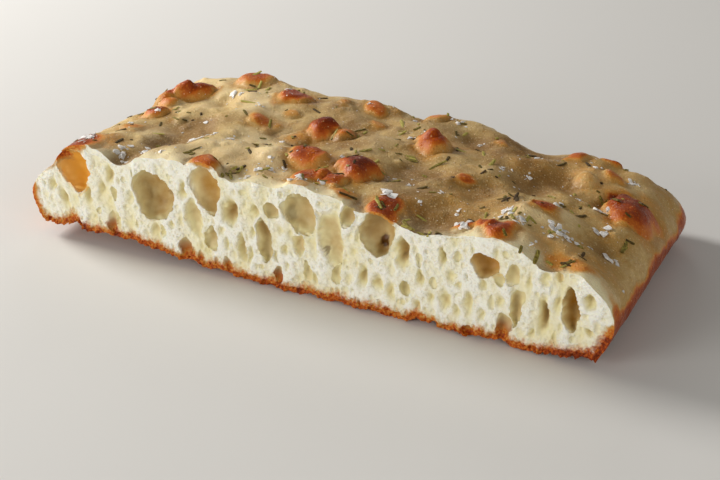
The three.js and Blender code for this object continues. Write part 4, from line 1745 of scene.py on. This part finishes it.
@dataclass
class Rosemary:
    """Dried rosemary leaves, whole and broken, joined in one piece."""

    table: Table
    needles: list[Place]
    extra: int = 150
    sides: int = 6
    cuts: int = 4
    strewn: tuple[float, float, float, float] = (-98, 104, -50, 46)
    lift: float = 0.12

    def leaf(self, length: float, width: float, bend: float) -> bmesh.types.BMesh:
        """One leaf along X: a narrow blade with a groove on top and blunt ends.

        Args:
            length: Its length, in millimetres.
            width: Its width, in millimetres.
            bend: How far it curls, as a part of its length.

        Returns:
            The leaf, in metres.
        """
        bm = bmesh.new()
        bmesh.ops.create_cone(bm, cap_ends=True, segments=self.sides, radius1=0.5, radius2=0.5, depth=1)
        bmesh.ops.rotate(bm, matrix=Matrix.Rotation(math.pi / 2, 3, "Y"), verts=bm.verts)
        long_edges = [e for e in bm.edges if abs(e.verts[0].co.x - e.verts[1].co.x) > 0.5]
        bmesh.ops.subdivide_edges(bm, edges=long_edges, cuts=self.cuts)
        for vert in bm.verts:
            along, side, up = vert.co
            belly = 0.78 + 0.22 * max(0.0, 1 - (2 * along) ** 8)
            groove = 0.22 if up > 0.3 and abs(side) < 0.3 else 0.0
            curl = bend * (along * along - 0.08)
            vert.co.x = along * length * MM
            vert.co.y = (side * width * belly + curl * length) * MM
            vert.co.z = ((up - groove) * width * 0.62 * belly + 0.35 * abs(curl) * length * 0.5) * MM
        return bm

    def places(self, draw: random.Random) -> list[Place]:
        """Where the leaves lie: the slab's own needles, the sprigs, and broken bits around them.

        Args:
            draw: The random source.

        Returns:
            The places.
        """
        places = list(self.needles) + list(SPRIGS)
        for sprig in SPRIGS:
            for _ in range(draw.randint(1, 3)):
                x, y = draw.gauss(sprig.x, 2.2), draw.gauss(sprig.y, 1.4)
                places.append(Place(x, y, draw.uniform(0, math.pi), draw.uniform(2.5, 6), 0.2))
        left, right, front, back = self.strewn
        for _ in range(self.extra):
            x, y = draw.uniform(left, right), draw.uniform(front, back)
            length = 1.2 + 4.6 * draw.random() ** 1.5
            places.append(Place(x, y, draw.uniform(0, math.pi), length, draw.uniform(-0.5, 0.5)))
        return places

    def add_leaf(self, pile: bmesh.types.BMesh, place: Place, draw: random.Random) -> None:
        """Adds one leaf to the pile, and its shade.

        Args:
            pile: The bmesh that takes it.
            place: Where it lies.
            draw: The random source.
        """
        width = min(1.3, 0.8 + 0.06 * place.length) * draw.uniform(0.75, 1.2)
        seat = self.table.seat(place, -self.lift, draw.uniform(-0.08, 0.22))
        if seat is None:
            return
        leaf = self.leaf(0.78 * place.length, width, 0.4 * place.bend)
        leaf.transform(seat)
        mesh = to_mesh(leaf, "leaf")
        before = len(pile.verts)
        pile.from_mesh(mesh)
        bpy.data.meshes.remove(mesh)
        pile.verts.ensure_lookup_table()
        tone = pile.verts.layers.float["tone"]
        shade = draw.random() ** 1.2
        for rank, vert in enumerate(pile.verts[before:]):
            vert[tone] = shade + 0.22 * math.sin(rank * 2.4)

    def build(self) -> bpy.types.Object:
        """Builds all leaves.

        Returns:
            The object.
        """
        draw = random.Random(17)
        pile = bmesh.new()
        pile.verts.layers.float.new("tone")
        for place in self.places(draw):
            self.add_leaf(pile, place, draw)
        bmesh.ops.recalc_face_normals(pile, faces=pile.faces)
        mesh = to_mesh(pile, "rosemary")
        mesh.shade_smooth()
        mesh.set_sharp_from_angle(angle=math.radians(50))
        mesh.materials.append(RosemaryFinish().material())
        return lay_out("rosemary", mesh)


@dataclass
class Salt:
    """Flakes and crumbs of coarse salt, joined in one piece."""

    table: Table
    flakes: list[Place]
    extra: int = 170
    corner_count: int = 11
    strewn: tuple[float, float, float, float] = (-98, 106, -50, 46)

    def crystal(self, pile: bmesh.types.BMesh, size: float, seat: Matrix, draw: random.Random) -> None:
        """Adds one crystal with flat broken faces.

        Args:
            pile: The bmesh that takes it.
            size: Its length, in millimetres.
            seat: Where it lies.
            draw: The random source.
        """
        corners = []
        half = Vector((0.5, draw.uniform(0.28, 0.5), draw.uniform(0.09, 0.2))) * size * MM
        for _ in range(self.corner_count):
            spot = Vector([draw.gauss(0, 1) for _ in range(3)]).normalized()
            spot.z = round(1.4 * spot.z) / 1.4 * draw.uniform(0.8, 1.0)
            corners.append(pile.verts.new(seat @ (spot * half)))
        made = bmesh.ops.convex_hull(pile, input=corners)
        loose = set(made["geom_interior"]) | set(made["geom_unused"])
        verts = [part for part in loose if isinstance(part, bmesh.types.BMVert) and part.is_valid]
        bmesh.ops.delete(pile, geom=verts, context="VERTS")

    def clump(self, pile: SaltPile, least: float, most: float, draw: random.Random) -> list[Place]:
        """Places of the crystals of one loose pile.

        Args:
            pile: The pile.
            least: The smallest crystal, in millimetres.
            most: The largest crystal.
            draw: The random source.

        Returns:
            The places.
        """
        half = pile.spread / 2
        return [
            Place(draw.gauss(pile.x, half), draw.gauss(pile.y, half), draw.uniform(0, math.pi),
                  least + (most - least) * draw.random() ** 1.8)
            for _ in range(pile.count)]

    def places(self, draw: random.Random) -> list[Place]:
        """Where the crystals lie: the slab's own flakes, the piles, and crumbs around them.

        Args:
            draw: The random source.

        Returns:
            The places.
        """
        places = []
        for flake in self.flakes:
            places.append(Place(flake.x, flake.y, flake.heading, flake.length * 0.8))
            places += self.clump(SaltPile(flake.x, flake.y, flake.length * 0.7, 5), 0.5, 1.8, draw)
        for pile in SALT_PILES:
            places += self.clump(replace(pile, count=2 * pile.count), 0.8, 4.2, draw)
        left, right, front, back = self.strewn
        for _ in range(self.extra):
            size = 0.4 + 1.0 * draw.random() ** 2
            x, y = draw.uniform(left, right), draw.uniform(front, back)
            places.append(Place(x, y, draw.uniform(0, math.pi), size))
        return places

    def build(self) -> bpy.types.Object:
        """Builds all crystals.

        Returns:
            The object.
        """
        draw = random.Random(29)
        pile = bmesh.new()
        for place in self.places(draw):
            seat = self.table.seat(place, -0.06 * place.length, draw.uniform(-0.3, 0.3))
            if seat is not None:
                self.crystal(pile, place.length, seat, draw)
        bmesh.ops.recalc_face_normals(pile, faces=pile.faces)
        mesh = to_mesh(pile, "salt")
        mesh.materials.append(SaltFinish().material())
        return lay_out("salt", mesh)


# --------------------------------------------------------------------------------------- studio


@dataclass(frozen=True)
class SoftBox:
    """A soft lamp: where it stands, its size and power, and its colour."""

    name: str
    place: tuple[float, float, float]
    size: float
    power: float
    colour: Colour = (1.0, 1.0, 1.0)


@dataclass
class Studio:
    """The pale floor, the soft lamps and the camera."""

    target: Vector = field(default_factory=lambda: Vector((0.0, 0.0, 0.015)))
    lens: float = 70.0
    azimuth: float = math.radians(25.9)
    elevation: float = math.radians(28.2)
    eye: tuple[float, float, float] = (0.19858, -0.41093, 0.2413)
    floor_size: float = 8.0
    lamps: tuple[SoftBox, ...] = (
        SoftBox("window", (-1.0, 0.12, 0.55), 0.4, 12.5, (1.0, 0.985, 0.96)),
        SoftBox("front", (-0.7, -1.1, 0.28), 0.8, 10.1, (1.0, 0.985, 0.96)),
        SoftBox("right", (0.95, -0.55, 0.4), 0.7, 2.5, (1.0, 0.98, 0.95)),
        SoftBox("back", (-0.5, 1.0, 0.58), 0.35, 1.0, (1.0, 1.0, 1.0)),
    )

    def light(self) -> None:
        """Sets up the lamps and a dim even sky."""
        for lamp in self.lamps:
            data = bpy.data.lights.new(lamp.name, "AREA")
            data.shape = "DISK"
            data.size = lamp.size
            data.energy = lamp.power
            data.color = lamp.colour
            stand = lay_out(lamp.name, data)
            stand.location = lamp.place
            stand.rotation_euler = (self.target - stand.location).to_track_quat("-Z", "Y").to_euler()
        world = bpy.data.worlds.new("studio")
        world.use_nodes = True
        sky = world.node_tree.nodes["Background"]
        sky.inputs["Color"].default_value = (1.0, 0.975, 0.93, 1.0)
        sky.inputs["Strength"].default_value = 0.21
        bpy.context.scene.world = world
        bpy.context.scene.view_settings.view_transform = "Standard"

    def floor(self) -> bpy.types.Object:
        """Lays the floor.

        Returns:
            The floor.
        """
        bm = bmesh.new()
        bmesh.ops.create_grid(bm, x_segments=1, y_segments=1, size=self.floor_size / 2)
        floor = lay_out("floor", to_mesh(bm, "floor"))
        floor.data.materials.append(FloorFinish().material())
        return floor

    def camera(self) -> None:
        """Sets up the camera at the view that shows the cut and the top."""
        data = bpy.data.cameras.new("camera")
        data.lens = self.lens
        data.clip_start = 0.01
        camera = lay_out("camera", data)
        turn = Euler((math.pi / 2 - self.elevation, 0.0, self.azimuth), "XYZ")
        camera.matrix_world = Matrix.Translation(self.eye) @ turn.to_matrix().to_4x4()
        bpy.context.scene.camera = camera


def report(piece: bpy.types.Object) -> None:
    """Logs a finished piece."""
    mesh = piece.data
    mesh.calc_loop_triangles()
    log.info("%s: %d triangles", piece.name, len(mesh.loop_triangles))


def main() -> None:
    """Builds the slab and its toppings, dresses them and sets up the studio."""
    logging.basicConfig(level=logging.INFO, format="%(name)s %(message)s")
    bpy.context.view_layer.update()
    form = DoughForm()
    bread = BreadHalf(form, DoughSkin(form), CrumbFace(form)).build()
    bpy.context.view_layer.update()
    table = Table(bread)
    needles, flakes = LoosePiles(form).lay()
    leaves = Rosemary(table, needles).build()
    salt = Salt(table, flakes).build()
    for piece, slot in ((bread, "bread"), (leaves, "rosemary"), (salt, "salt")):
        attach(piece, BODY)
        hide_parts(NODE)
        report(piece)
    studio = Studio()
    studio.floor()
    studio.light()
    studio.camera()
    bpy.context.view_layer.update()


if __name__ == "__main__":
    main()
